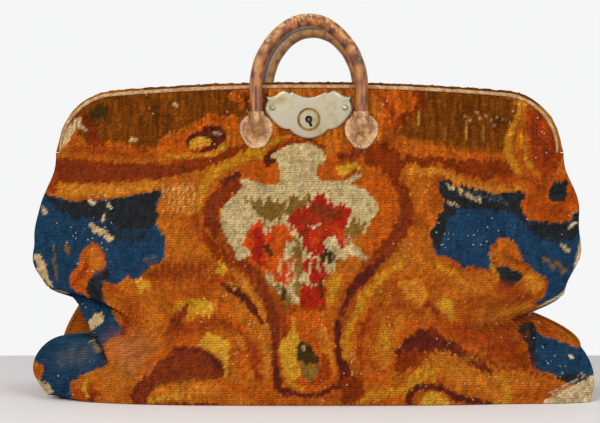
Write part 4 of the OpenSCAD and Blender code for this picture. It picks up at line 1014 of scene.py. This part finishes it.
# Holes in the front carpet for the keyhole ring and the lock rivets
ring_low, ring_high = (np.array(c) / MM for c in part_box("keyhole_ring"))
rivets_low, rivets_high = (np.array(c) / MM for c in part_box("lock_rivets"))
ring_z = (ring_low[2] + ring_high[2]) / 2
ring_r = (ring_high[0] - ring_low[0]) / 2
rivet_z = (rivets_low[2] + rivets_high[2]) / 2
rivet_head = (rivets_high[2] - rivets_low[2]) / 2
rivet_x = rivets_high[0] - rivet_head
ring_room, rivet_room = 1.8, 1.0
lock_holes = [(0.0, ring_z, ring_r + ring_room)]
lock_holes += [(s * rivet_x, rivet_z, rivet_head + rivet_room) for s in (LEFT, RIGHT)]


# The two carpet sides, whose linings place the side cloths, and the columns that are turned in at each side
linings = {}
turned_in = 8


def carpet_side(name, turn, seed):
    """One side of the bag as a closed sheet of carpet, lined on the inside."""
    outer, inner, seen = carpet_shape(turn)
    linings[turn] = inner
    if turn == BACK:
        over = turnover_rows(outer)
        outer = np.concatenate((outer, over[0]))
        inner = np.concatenate((inner, over[1]))
        mirrored = outer * np.array((-1.0, -1.0, 1.0))
        seen = to_photo(mirrored)
    rows, cols = outer.shape[:2]
    holes = None
    if turn == FRONT:
        middle = (outer[1:, 1:] + outer[:-1, :-1] + outer[1:, :-1] + outer[:-1, 1:]) / 4
        holes = np.zeros(middle.shape[:2], bool)
        for x, z, r in lock_holes:
            holes |= np.hypot(middle[..., 0] - x, middle[..., 2] - z) < r
    faces, n_front, n_back = shell_faces(rows, cols, turn == BACK, holes)
    points = np.concatenate((outer.reshape(-1, 3), inner.reshape(-1, 3)))
    used = np.unique(faces)
    place = np.full(len(points), -1)
    place[used] = np.arange(len(used))
    piece = new_mesh(name, points[used], place[faces])
    wool = weave_colours(seen, seed)
    # The turned-in columns of the back carpet are painted amber, lighter than the rust ground: painted light
    # where they lie in the bag's shade
    if turn == BACK:
        wool[:, :turned_in] = wool[:, -turned_in:] = srgb_to_linear(dyes["amber"])
    wool = wool.reshape(-1, 3)
    tint(piece, np.concatenate((wool, wool))[used])
    # The lining stops short of the sides, where the carpet is turned in
    column = np.tile(np.arange(cols - 1), rows - 1)
    lined = (column >= turned_in) & (column < cols - 1 - turned_in)
    marked = np.zeros(len(piece.data.polygons), bool)
    marked[n_front:n_front + n_back] = lined if holes is None else lined[~holes.reshape(-1)]
    two_materials(piece, carpet_wool, lining_linen, marked)
    return piece


def turnover_rows(outer):
    """The back carpet turns over its jaw: rows that run up, over the steel and down to the mouth."""
    top = outer[-1]
    centre = np.stack((np.clip(top[:, 0], -corner_x, corner_x), np.zeros(len(top)),
                       np.where(np.abs(top[:, 0]) > corner_x, corner_z, top[:, 2] - corner_r)), axis=-1)
    away = top - centre
    away[:, 1] = 0.0
    away /= np.linalg.norm(away, axis=1)[:, None]
    steps, bend = 10, 0.8
    mouth, mouth_round, mouth_lift = 0.8, 1.0, 1.4
    thick, least_lift, lining_gap = 4.2, 0.5, 0.4
    crown_less, end_more = 1.0, {LEFT: -0.8, RIGHT: 1.2}
    fuzz_spread, fuzz_seed = 0.3, 17
    end_crest = turnover_t + np.where(top[:, 0] < 0.0, end_more[LEFT], end_more[RIGHT])
    crest = mix(turnover_t - crown_less, end_crest, share(np.abs(top[:, 0]), corner_x, arch_w))
    rng = np.random.default_rng(fuzz_seed)
    outside, inside_rows = [], []
    for k in range(1, steps + 1):
        t = k / steps
        turn_a = math.pi / 2 * min(t / bend, 1.0)
        last = share(t, bend, 1.0)
        lift = mix(crest * math.sin(turn_a), mouth_lift, last)
        fuzz = rng.normal(0.0, fuzz_spread, len(top)) * math.sin(turn_a) * (1.0 - last)
        row = top + away * (rim_under + lift + fuzz)[:, None]
        row[:, 1] = mix(mix(flap_out, mouth + mouth_round, 1.0 - math.cos(turn_a)), mouth, last)
        outside.append(row)
        low = top + away * (rim_under + np.maximum(lift - thick, least_lift))[:, None]
        low[:, 1] = mix(flap_out - carpet_t, mouth + lining_gap, t)
        inside_rows.append(low)
    return np.array(outside), np.array(inside_rows)


front_carpet = carpet_side("front_carpet", FRONT, seed=11)
back_carpet = carpet_side("back_carpet", BACK, seed=41)
for piece, jaw, nodes, y in ((front_carpet, "front_jaw", ("front_panel", "front_flap"), FRONT),
                             (back_carpet, "back_jaw", ("back_panel", "back_flap"), BACK)):
    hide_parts(*nodes)
    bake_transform(piece)

# The rim of the jaws as stations from the right hinge to the left one: an arc's middle, radius and angle
def rim_stations(corner_steps=36, crown_steps=90):
    crown_half = math.asin(corner_x / (crown_r - corner_r))
    corner_turns = np.linspace(0.0, math.pi / 2 - crown_half, corner_steps)
    crown_turns = np.linspace(crown_half, -crown_half, crown_steps)[1:-1]
    right = [(corner_x, corner_z, corner_r, a) for a in corner_turns]
    crown = [(0.0, crown_z, crown_r, math.pi / 2 - a) for a in crown_turns]
    left = [(-x, z, r, math.pi - a) for x, z, r, a in reversed(right)]
    return right + crown + left


def ring_faces(n, m, start=0):
    """Faces of a closed tube through n rings of m points."""
    faces = grid_faces(n, m, start, wrap=True).tolist()
    faces.append([start + j for j in range(m - 1, -1, -1)])
    faces.append([start + (n - 1) * m + j for j in range(m)])
    return faces


def sweep(name, rings):
    """A closed tube through rings of points."""
    rings = np.asarray(rings)
    return new_mesh(name, rings.reshape(-1, 3), ring_faces(*rings.shape[:2]))


# The leather binding folded over the front rim
def binding():
    # Its section: distance outwards from the steel, and depth
    mouth, face, middle = 0.7, flap_out + 0.25, 8.0
    lap, top, under = -1.1, 2.4, 0.4
    section = [(lap, face), (lap, face + 0.8), (0.2, face + 1.4), (1.5, face + 1.1), (top - 0.3, face - 0.4),
               (top, face - 3.0), (top, middle), (top - 0.2, 3.0), (top - 0.9, mouth), (0.8, mouth),
               (under, mouth + 0.8), (under, middle), (under, face - 1.0), (-0.1, face)]
    # It is flatter at both ends and a little uneven along its top
    end_steps, end_swell, swell_above = 12, 0.5, 0.5
    wave, wave_rate, rough, rough_seed = 0.05, 0.9, 0.06, 5
    stations = rim_stations()
    rng = np.random.default_rng(rough_seed)
    rings = []
    for k, (cx, cz, r, a) in enumerate(stations):
        out = np.array((math.cos(a), 0.0, math.sin(a)))
        end = share(min(k, len(stations) - 1 - k), 0, end_steps)
        swell = mix(end_swell, 1.0, end) + wave * math.sin(k * wave_rate) + rough * rng.normal()
        ring = []
        for d, y in section:
            reach = r + d * (swell if d > swell_above else 1.0)
            ring.append(np.array((cx, -y, cz)) + out * reach)
        rings.append(ring)
    piece = sweep("binding", rings)
    piece.data.materials.append(binding_leather)
    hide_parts("front_binding")
    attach(piece, "front_jaw")


binding()

# Rolled handles
handle_d = 12.2
handle_lean = math.radians(2.0)
plate_low, plate_high = (np.array(c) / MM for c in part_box("lock_plate"))
plate_gap, rim_t, root_h, root_gap = 7.1, 3.4, 36.0, 2.0
half_span = {FRONT: plate_high[0] + plate_gap, BACK: 44.0}
handle_x = {FRONT: 0.0, BACK: 4.0}
bag_h = strip_top + rim_t
root_z = hinge_z + root_h
root_y = flap_out + root_gap + handle_d / 2 + (bag_h - root_z) * math.tan(handle_lean)
handle_rise, back_drop, handle_top_r = 58.6, 8.0, 36.0
leg_steps, side_steps, arch_steps, handle_sides = 14, 40, 52, 32
leather_tones = {
    FRONT: {"light": (184, 118, 50), "mid": (132, 70, 28), "dark": (74, 36, 16), "crack": (226, 178, 106)},
    BACK: {"light": (178, 128, 70), "mid": (160, 108, 56), "dark": (124, 80, 40), "crack": (196, 146, 84)},
}


def handle_line(side, top):
    """Stations of a handle's centre line: an arc's middle, its radius and the angle round it."""
    stand = strip_top - root_z
    up = (top - root_z) / math.cos(handle_lean) - stand
    k = up - handle_top_r
    m = half_span[side] - handle_top_r
    q = (k * k + m * m) / (2 * m)
    side_r = q + handle_top_r
    turn = math.atan2(k, q - m)
    legs = np.linspace(0.0, stand, leg_steps)[:-1]
    right = [(half_span[side] - side_r, z, side_r, 0.0) for z in legs]
    right += [(half_span[side] - side_r, stand, side_r, a) for a in np.linspace(0.0, turn, side_steps)]
    arch_turns = np.linspace(turn, math.pi - turn, arch_steps)[1:-1]
    arch = [(0.0, stand + k, handle_top_r, a) for a in arch_turns]
    left = [(-x, z, r, math.pi - a) for x, z, r, a in reversed(right)]
    return right + arch + left


def handle_tones(side, angles, run, rise_a, seam, seed):
    """Colours round one ring of a handle: mottled, cracked on top, dark along the seam with painted shade
    beside it, and on the back handle painted shadow where the front one lies against it.
    """
    mottle_round, mottle_skew, mottle_run, mottle_size, mottle_span = 9.0, 4.0, 0.6, 4.5, (0.1, 0.7)
    crack_round, crack_skew, crack_size, crack_span = 7.0, 3.0, 2.6, (0.1, 0.5)
    light_span, light_most, crack_most, seam_most = (-0.1, 0.7), 0.75, 0.9, 0.8
    top_span, outer_span = (0.1, 0.8), (-0.6, 0.7)
    gap_shade_span, gap_shade_most = (0.05, 0.4), 0.85
    tones = leather_tones[side]
    across, along = np.cos(angles), np.full(len(angles), run)
    mottle_x = across * mottle_round + mottle_skew * np.sin(angles)
    mottle = cloth_noise(mottle_x, along * mottle_run, mottle_size, seed + 1)
    crack_x = across * crack_round + crack_skew * np.sin(angles)
    crack = cloth_noise(crack_x, along, crack_size, seed + 2)
    top_wear = share(math.sin(rise_a), *top_span) * share(across, *outer_span)
    tone = dye_over(srgb_to_linear(tones["mid"]), tones["dark"], share(mottle, *mottle_span))
    tone = dye_over(tone, tones["light"], light_most * share(-mottle, *light_span))
    tone = dye_over(tone, tones["crack"], crack_most * top_wear * share(crack, *crack_span))
    # Dark along the seam: a real seam, widened into painted shade at the handle's inner edge
    tone = dye_over(tone, tones["dark"], seam_most * seam)
    # The back handle's outer half is painted near-black: painted shadow where it lies against the front one
    if side == BACK:
        tone = dye_over(tone, dyes["fold"], gap_shade_most * share(across, *gap_shade_span))
    return tone


def handle(name, side, top, body, node, seed):
    seam_w, seam_rise, wave, wave_rate, rough = 0.5, 0.05, 0.012, 0.21, 0.05
    run_length = 300.0
    rng = np.random.default_rng(seed)
    across = np.array((1.0, 0.0, 0.0))
    upward = np.array((0.0, -side * math.sin(handle_lean), math.cos(handle_lean)))
    forward = np.cross(upward, across)
    root = np.array((handle_x[side], side * root_y, root_z))
    stations = handle_line(side, top)
    angles = np.linspace(0.0, 2 * math.pi, handle_sides, endpoint=False)
    # A sewn seam runs along the inner side of the roll; its dark band is made wide enough to stand also as
    # painted shade at the handle's inner edge
    seam = np.exp(-((np.abs(angles - math.pi)) / seam_w) ** 2)
    rings, tones = [], []
    for (x, z, r, a), run in zip(stations, np.linspace(0.0, run_length, len(stations))):
        out = across * math.cos(a) + upward * math.sin(a)
        centre = root + across * x + upward * z + out * r
        roll_r = handle_d / 2 * (1.0 - wave + wave * math.sin(run * wave_rate)) * (1.0 + seam_rise * seam)
        roll_r = roll_r - rough * rng.random(handle_sides)
        outwards, forwards = np.cos(angles) * roll_r, np.sin(angles) * roll_r
        rings.append(centre + np.outer(outwards, out) + np.outer(forwards, forward))
        tones.append(handle_tones(side, angles, run, a, seam, seed))
    piece = sweep(name, rings)
    tint(piece, np.concatenate(tones))
    piece.data.materials.append(handle_leather)
    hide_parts(node)
    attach(piece, body)


handle("front_rolled_handle", FRONT, bag_h + handle_rise, "front_jaw", "front_handle", seed=61)
handle("back_rolled_handle", BACK, bag_h + handle_rise - back_drop, "back_jaw", "back_handle", seed=71)

# Tabs: pears of leather sewn to the carpet, which swell into a cuff round each end of a handle
tab_up, tab_r, tab_point, tab_waist = 27.0, 16.0, 0.22, 0.12
tab_z = hinge_z + tab_up
cuff_up, cuff_r, cuff_wall, cuff_side = 7.0, 7.3, 1.1, 0.5
tab_top = root_z + cuff_up
tab_edge, tab_gap = 2.1, 0.2
swell_low, swell_top, swell_w, cuff_room, dome_curve = 13.0, 1.0, 11.0, 0.2, 0.9
stitch_line, stitch_count, stitch_first, stitch_ends, stitch_stop = 0.87, 34, 0.05, (0.22, 0.86), 0.72
tie_x, tie_z, tie_up, tie_r = 3.0, 2.2, 2.0, 0.4
tab_shares = np.concatenate((np.linspace(0.06, 0.8, 15), np.linspace(0.83, 1.0, 7)))


def tab_outline(steps=96):
    """The pear's edge round the tab's middle, as angles and distances from it."""
    tiny, neck_from = 1e-6, 0.5
    angles = np.linspace(0.0, 2 * math.pi, steps, endpoint=False)
    reach = []
    for a in angles:
        down = max(-math.sin(a), 0.0)
        up = max(math.sin(a), 0.0)
        r = tab_r * (1.0 + tab_point * down ** 4)
        neck = (cuff_r + cuff_side) / max(abs(math.cos(a)), tiny)
        roof = (tab_top - tab_z) / max(up, tiny)
        shoulder = min(neck, roof) if up > neck_from else 0.0
        reach.append(max(r * (1.0 - tab_waist * up ** 2) if shoulder < r else r, shoulder))
    return angles, np.array(reach)


def tab_height(x, z):
    """How far a tab stands off the carpet, over its edge and over the handle's end."""
    swell = ease(share(z, tab_z - swell_low, root_z - swell_top))
    wide = mix(swell_w, cuff_r + cuff_room, swell)
    peak = mix(tab_edge, root_y - flap_out - tab_gap + cuff_r, swell)
    dome = np.sqrt(np.maximum(1.0 - (x / wide) ** 2, 0.0))
    return tab_edge + (peak - tab_edge) * dome ** dome_curve, dome * swell


def stitch(start, end, away, r=0.7, steps=5, sides=6):
    """A short sunk stitch between two points, as closed rings."""
    bow, sunk, end_share = 0.45, 0.15, 0.45
    run = end - start
    side = np.cross(run, away)
    side /= np.linalg.norm(side)
    rings = []
    for t in np.linspace(0.0, 1.0, steps):
        lift = math.sin(math.pi * t)
        centre = start + run * t + away * (bow * lift - sunk)
        w = r * mix(end_share, 1.0, lift)
        rings.append([centre + (side * math.cos(b) + away * math.sin(b)) * w
                      for b in np.linspace(0.0, 2 * math.pi, sides, endpoint=False)])
    return np.array(rings)


def tab_stitches(side, at_x, base, angles, reach):
    """Saddle stitches that follow the tab's edge, and a crossed stitch that ties the cuff."""
    away = np.array((0.0, float(side), 0.0))

    def on_tab(x, z):
        return np.array((at_x + x, side * (base + float(tab_height(x, z)[0])), z))

    runs = []
    at = np.linspace(0.0, 2 * math.pi, stitch_count + 1) + stitch_first
    for a, b in zip(at[:-1], at[1:]):
        if math.sin((a + b) / 2) > stitch_stop:
            continue
        ends = []
        for c in (mix(a, b, t) for t in stitch_ends):
            r = stitch_line * np.interp(c % (2 * math.pi), angles, reach, period=2 * math.pi)
            ends.append(on_tab(r * math.cos(c), tab_z + r * math.sin(c)))
        runs.append(stitch(*ends, away))
    for lean in (-1, 1):
        ends = [on_tab(s * tie_x, root_z + tie_up + s * lean * tie_z) for s in (LEFT, RIGHT)]
        runs.append(stitch(*ends, away, tie_r))
    return runs


def tab(name, side, s, body, node):
    groove_w, groove_deep, round_share, round_deep = 0.03, 0.35, 0.07, 0.9
    least_t, wall_span = 0.4, (0.0, 0.35)
    angles, reach = tab_outline()
    x = np.outer(tab_shares, np.cos(angles) * reach)
    z = tab_z + np.outer(tab_shares, np.sin(angles) * reach)
    high, dome = tab_height(x, z)
    edge = share(1.0 - tab_shares, 0.0, round_share)[:, None]
    groove = np.exp(-((tab_shares - stitch_line) / groove_w) ** 2)[:, None]
    low = np.maximum(high - mix(tab_edge, cuff_wall, share(dome, *wall_span)), 0.0)
    worn = round_deep * (1.0 - np.sqrt(edge)) + groove_deep * groove * (1.0 - dome)
    high = np.maximum(high - worn, low + least_t)
    base = flap_out + tab_gap
    at_x = handle_x[side] + s * half_span[side]
    front = np.stack((at_x + x, side * (base + high), z), axis=-1)
    behind = np.stack((at_x + x, side * (base + low), z), axis=-1)
    rows, cols = x.shape
    points = np.concatenate((front.reshape(-1, 3), behind.reshape(-1, 3)))
    faces = grid_faces(rows, cols, wrap=True, flip=side == BACK).tolist()
    faces += grid_faces(rows, cols, rows * cols, flip=side == FRONT, wrap=True).tolist()
    last = (rows - 1) * cols
    for j in range(cols):
        k = (j + 1) % cols
        rim = [last + j, last + k, rows * cols + last + k, rows * cols + last + j]
        faces.append(rim if side == FRONT else rim[::-1])
    front_cap = list(range(cols))
    behind_cap = [rows * cols + j for j in front_cap]
    faces.append(front_cap[::-1] if side == FRONT else front_cap)
    faces.append(behind_cap if side == FRONT else behind_cap[::-1])
    n_leather = len(faces)
    for rings in tab_stitches(side, at_x, base, angles, reach):
        faces += ring_faces(*rings.shape[:2], start=len(points))
        points = np.concatenate((points, rings.reshape(-1, 3)))
    piece = new_mesh(name, points, faces)
    two_materials(piece, tab_leather, stitch_thread, np.arange(len(faces)) >= n_leather)
    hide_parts(node)
    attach(piece, body)


for word, side, body in (("front", FRONT, "front_jaw"), ("back", BACK, "back_jaw")):
    for hand, s in (("left", LEFT), ("right", RIGHT)):
        tab(f"{word}_{hand}_pear_tab", side, s, body, f"{word}_{hand}_tab")


# The folded side cloths, which run between the linings of the two carpets
seam_cols, seam_gap, seam_slack = 3, 0.7, 3.0
top_draw, top_draw_h = 5.0, 25.0
foot_in, foot_in_h = 6.0, 16.0
# They stop under the hinges, where the jaws swing, and fold inwards in the middle of their height
swing_room, fold_in, edge_in, side_cloth_t = 19.9, 35.0, 4.0, 4.0
ripple_h, ripple_w, ripple_size, ripple_seed = 1.2, 30.0, 18.0, 90
shade_size, shade_seed, shade_span, wool_spread, wool_seed = 24.0, 95, (-0.2, 0.8), 0.1, 7


def seam_depth(s, turn, z):
    """How far from the middle of the bag the lining of a carpet lies along one seam."""
    edge = linings[turn][:, seam_cols if s == LEFT else -1 - seam_cols]
    near = [np.interp(z + step, edge[:, 2], np.abs(edge[:, 1])) for step in (-seam_slack, 0.0, seam_slack)]
    return np.min(near, axis=0) - seam_gap


def gusset_shape(s, rows=110, cols=49):
    """Outer and inner points of one side cloth, rows by columns."""
    top = hinge_z - swing_room
    t, z = np.meshgrid(np.linspace(-1.0, 1.0, cols), np.linspace(0.0, top, rows))
    half = np.where(s * t < 0, seam_depth(s, FRONT, z), seam_depth(s, BACK, z))
    half = half - top_draw * ease(share(z, top - top_draw_h, top))
    fold = fold_in * np.sin(np.pi * z / top)
    ripple = ripple_h * cloth_noise(t * ripple_w, z, ripple_size, ripple_seed + s)
    wide = mix(half_width(s, FRONT, z), half_width(s, BACK, z), (1.0 + s * t) / 2)
    x = wide - edge_in + (ripple - fold) * (1.0 - t ** 2) - foot_in * ease(share(z, foot_in_h, 0.0))
    outer = np.stack((s * x, s * t * half, z), axis=-1)
    inner = outer - np.array((s * side_cloth_t, 0.0, 0.0))
    return outer, inner


def side_cloth(name, s, node):
    outer, inner = gusset_shape(s)
    faces, n_front, n_back = shell_faces(*outer.shape[:2])
    flat = outer.reshape(-1, 3)
    piece = new_mesh(name, np.concatenate((flat, inner.reshape(-1, 3))), faces)
    rng = np.random.default_rng(wool_seed)
    shade = share(cloth_noise(flat[:, 1], flat[:, 2], shade_size, shade_seed), *shade_span)
    wool = dye_over(np.tile(srgb_to_linear(dyes["rust"]), (len(flat), 1)), dyes["dark_rust"], shade)
    wool = wool * rng.normal(1.0, wool_spread, (len(flat), 1))
    tint(piece, np.clip(np.concatenate((wool, wool)), 0.0, 1.0))
    face = np.arange(len(faces))
    two_materials(piece, carpet_wool, lining_linen, (face >= n_front) & (face < n_front + n_back))
    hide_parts(node)
    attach(piece, "bag")


side_cloth("left_side_cloth", LEFT, "left_gusset")
side_cloth("right_side_cloth", RIGHT, "right_gusset")

# The lock plate: half of its outline, as shares of half its width and of its height
plate_half = [(0, 0.85), (0.13, 0.87), (0.26, 0.92), (0.37, 0.975), (0.42, 0.94), (0.48, 0.975), (0.56, 1),
              (0.635, 0.965), (0.71, 0.91), (0.81, 0.87), (0.965, 0.87), (0.92, 0.78), (0.975, 0.67),
              (1, 0.60), (0.95, 0.53), (0.84, 0.40), (0.75, 0.315), (0.635, 0.225), (0.515, 0.185),
              (0.44, 0.195), (0.335, 0.10), (0.21, 0.04), (0.09, 0.006), (0, 0)]
# It is domed towards the keyhole and has a rounded edge
dome_low, dome_high, dome_reach = 0.45, 1.0, 0.85
bevel_deep, bevel_from = 0.9, 0.93
ring_gap, rivet_hole_r, cut_more = 0.2, 1.6, 4.0
plate_crease = math.radians(40.0)
plate_shares = np.concatenate((np.linspace(0.12, 0.9, 16), (0.95, 0.98, 1.0)))


def cut_with(piece, cutters):
    """Cut holes in a piece, and take the cutters away."""
    for cutter in cutters:
        step = piece.modifiers.new("hole", "BOOLEAN")
        step.operation = "DIFFERENCE"
        step.solver = "EXACT"
        step.object = cutter
    ready = piece.evaluated_get(bpy.context.evaluated_depsgraph_get())
    mesh = bpy.data.meshes.new_from_object(ready)
    piece.modifiers.clear()
    piece.data = mesh
    for cutter in cutters:
        bpy.data.objects.remove(cutter)


def round_cutter(x, z, r, y0, y1, sides=48):
    """A round bar from front to back."""
    angles = np.linspace(0.0, 2 * math.pi, sides, endpoint=False)
    rings = [[(x + r * math.cos(a), y, z + r * math.sin(a)) for a in angles] for y in (y1, y0)]
    return sweep("cutter", rings)


def domed_plate():
    wide, high = plate_high[0], plate_high[2] - plate_low[2]
    right = [(x * wide, plate_low[2] + z * high) for x, z in plate_half]
    corners = np.array(right + [(-x, z) for x, z in right[-2:0:-1]])
    thirds = (0.0, 0.34, 0.67)
    edge = np.array([mix(a, b, t) for a, b in zip(corners, np.roll(corners, -1, axis=0)) for t in thirds])
    middle = np.array((0.0, ring_z))
    back, front = -plate_high[1], -plate_low[1]
    rows = []
    for t in plate_shares:
        at = middle + (edge - middle) * t
        reach = np.hypot(at[:, 0] / wide, (at[:, 1] - ring_z) / high)
        dome = front - dome_low + dome_high * np.maximum(1.0 - (reach / dome_reach) ** 2, 0.0)
        bevel = bevel_deep * share(t, bevel_from, 1.0) ** 2
        rows.append(np.stack((at[:, 0], -(dome - bevel), at[:, 1]), axis=-1))
    front_rows = np.array(rows)
    back_rows = front_rows.copy()
    back_rows[..., 1] = -back
    points = np.concatenate((front_rows.reshape(-1, 3), back_rows.reshape(-1, 3)))
    m, n = front_rows.shape[:2]
    faces = grid_faces(m, n, wrap=True).tolist() + grid_faces(m, n, m * n, flip=True, wrap=True).tolist()
    for start, turned in ((0, True), ((m - 1) * n, False)):
        for j in range(n):
            k = (j + 1) % n
            wall = [start + j, start + k, m * n + start + k, m * n + start + j]
            faces.append(wall[::-1] if turned else wall)
    piece = new_mesh("domed_lock_plate", points, faces)
    turn_out(piece)
    deep = (-front - cut_more, -back + cut_more)
    cut_with(piece, [round_cutter(0.0, ring_z, ring_r + ring_gap, *deep)]
             + [round_cutter(s * rivet_x, rivet_z, rivet_hole_r, *deep, sides=24) for s in (LEFT, RIGHT)])
    piece.data.materials.append(nickel)
    piece.data.polygons.foreach_set("use_smooth", [True] * len(piece.data.polygons))
    piece.data.set_sharp_from_angle(angle=plate_crease)
    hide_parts("lock_plate")
    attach(piece, "front_jaw")


domed_plate()

# Everything else keeps its CAD shape and gets its finish here
finishes = {
    "base_panel": base_cloth, "left_hinge_pin": steel, "right_hinge_pin": steel, "front_frame": steel,
    "front_hinge_eyes": steel, "back_frame": steel, "back_hinge_links": steel,
    "keyhole_ring": brass, "keyhole_disc": nickel, "key_post": steel, "lock_case": steel, "lock_cover": steel,
    "lock_rivets": nickel, "lock_bolt": brass, "bolt_spring": steel, "front_tab_studs": brass,
    "back_tab_studs": brass, "staple": steel, "staple_rivets": steel,
}
for node, material in finishes.items():
    part = frame["nodes"][node]
    part.data.materials.clear()
    part.data.materials.append(material)


# Floor, light and camera, in metres
table_half, table_far, table_skew, table_drop = 3.0, 0.22, 0.008, 0.0002
table_white = (234, 231, 230)
lamp_aim = Vector((0.0, 0.0, 0.15))
air_light, wall_tone = 0.3, (0.915, 0.92, 0.918, 1.0)


def studio():
    """A pale table with its far edge a little way behind the bag."""
    corners = [(-table_half, -table_half), (table_half, -table_half), (table_half, table_far + table_skew),
               (-table_half, table_far)]
    floor_mesh = bpy.data.meshes.new("table")
    floor_mesh.from_pydata([(x, y, -table_drop) for x, y in corners], [], [(0, 1, 2, 3)])
    floor = bpy.data.objects.new("table", floor_mesh)
    bpy.context.collection.objects.link(floor)
    paper, tree, shader = new_material("pale_table", roughness=0.9)
    shader.inputs["Base Color"].default_value = tuple(srgb_to_linear(table_white)) + (1.0,)
    floor_mesh.materials.append(paper)


def lamp(name, place, size, power):
    light = bpy.data.lights.new(name, "AREA")
    light.shape = "DISK"
    light.size = size
    light.energy = power
    holder = bpy.data.objects.new(name, light)
    holder.location = place
    holder.rotation_euler = (lamp_aim - Vector(place)).to_track_quat("-Z", "Y").to_euler()
    bpy.context.collection.objects.link(holder)


studio()
lamp("front_left_softbox", (-1.0, -1.8, 1.05), size=1.2, power=27.0)
lamp("front_right_softbox", (1.2, -1.7, 0.8), size=1.2, power=18.0)
lamp("top_softbox", (0.0, 0.1, 2.0), size=1.6, power=11.0)

# The air lights the bag softly, and the camera sees a pale wall
world = bpy.data.worlds.new("studio_air")
world.use_nodes = True
air = world.node_tree
sky = air.nodes["Background"]
sky.inputs["Color"].default_value = (1.0, 1.0, 1.0, 1.0)
sky.inputs["Strength"].default_value = air_light
wall = add(air, "ShaderNodeBackground", Color=wall_tone, Strength=1.0)
rays = add(air, "ShaderNodeLightPath")
either = add(air, "ShaderNodeMixShader")
seen_rays = maths(air, "MAXIMUM", rays.outputs["Is Camera Ray"], rays.outputs["Is Glossy Ray"])
air.links.new(seen_rays, either.inputs["Fac"])
air.links.new(sky.outputs["Background"], either.inputs[1])
air.links.new(wall.outputs["Background"], either.inputs[2])
air.links.new(either.outputs["Shader"], air.nodes["World Output"].inputs["Surface"])
bpy.context.scene.world = world
bpy.context.scene.view_settings.view_transform = "Standard"

camera_data = bpy.data.cameras.new("camera")
camera_data.sensor_width = 36.0
camera_data.lens = camera_data.sensor_width * focal_px / photo_w
camera_data.shift_x = (photo_w / 2 - aim_px[0]) / photo_w
camera_data.shift_y = (aim_px[1] - photo_h / 2) / photo_w
camera = bpy.data.objects.new("camera", camera_data)
camera.location = (aim + camera_dist * np.array((0.0, -math.cos(camera_el), math.sin(camera_el)))) * MM
camera.rotation_euler = (math.pi / 2 - camera_el, 0.0, 0.0)
bpy.context.collection.objects.link(camera)
bpy.context.scene.camera = camera
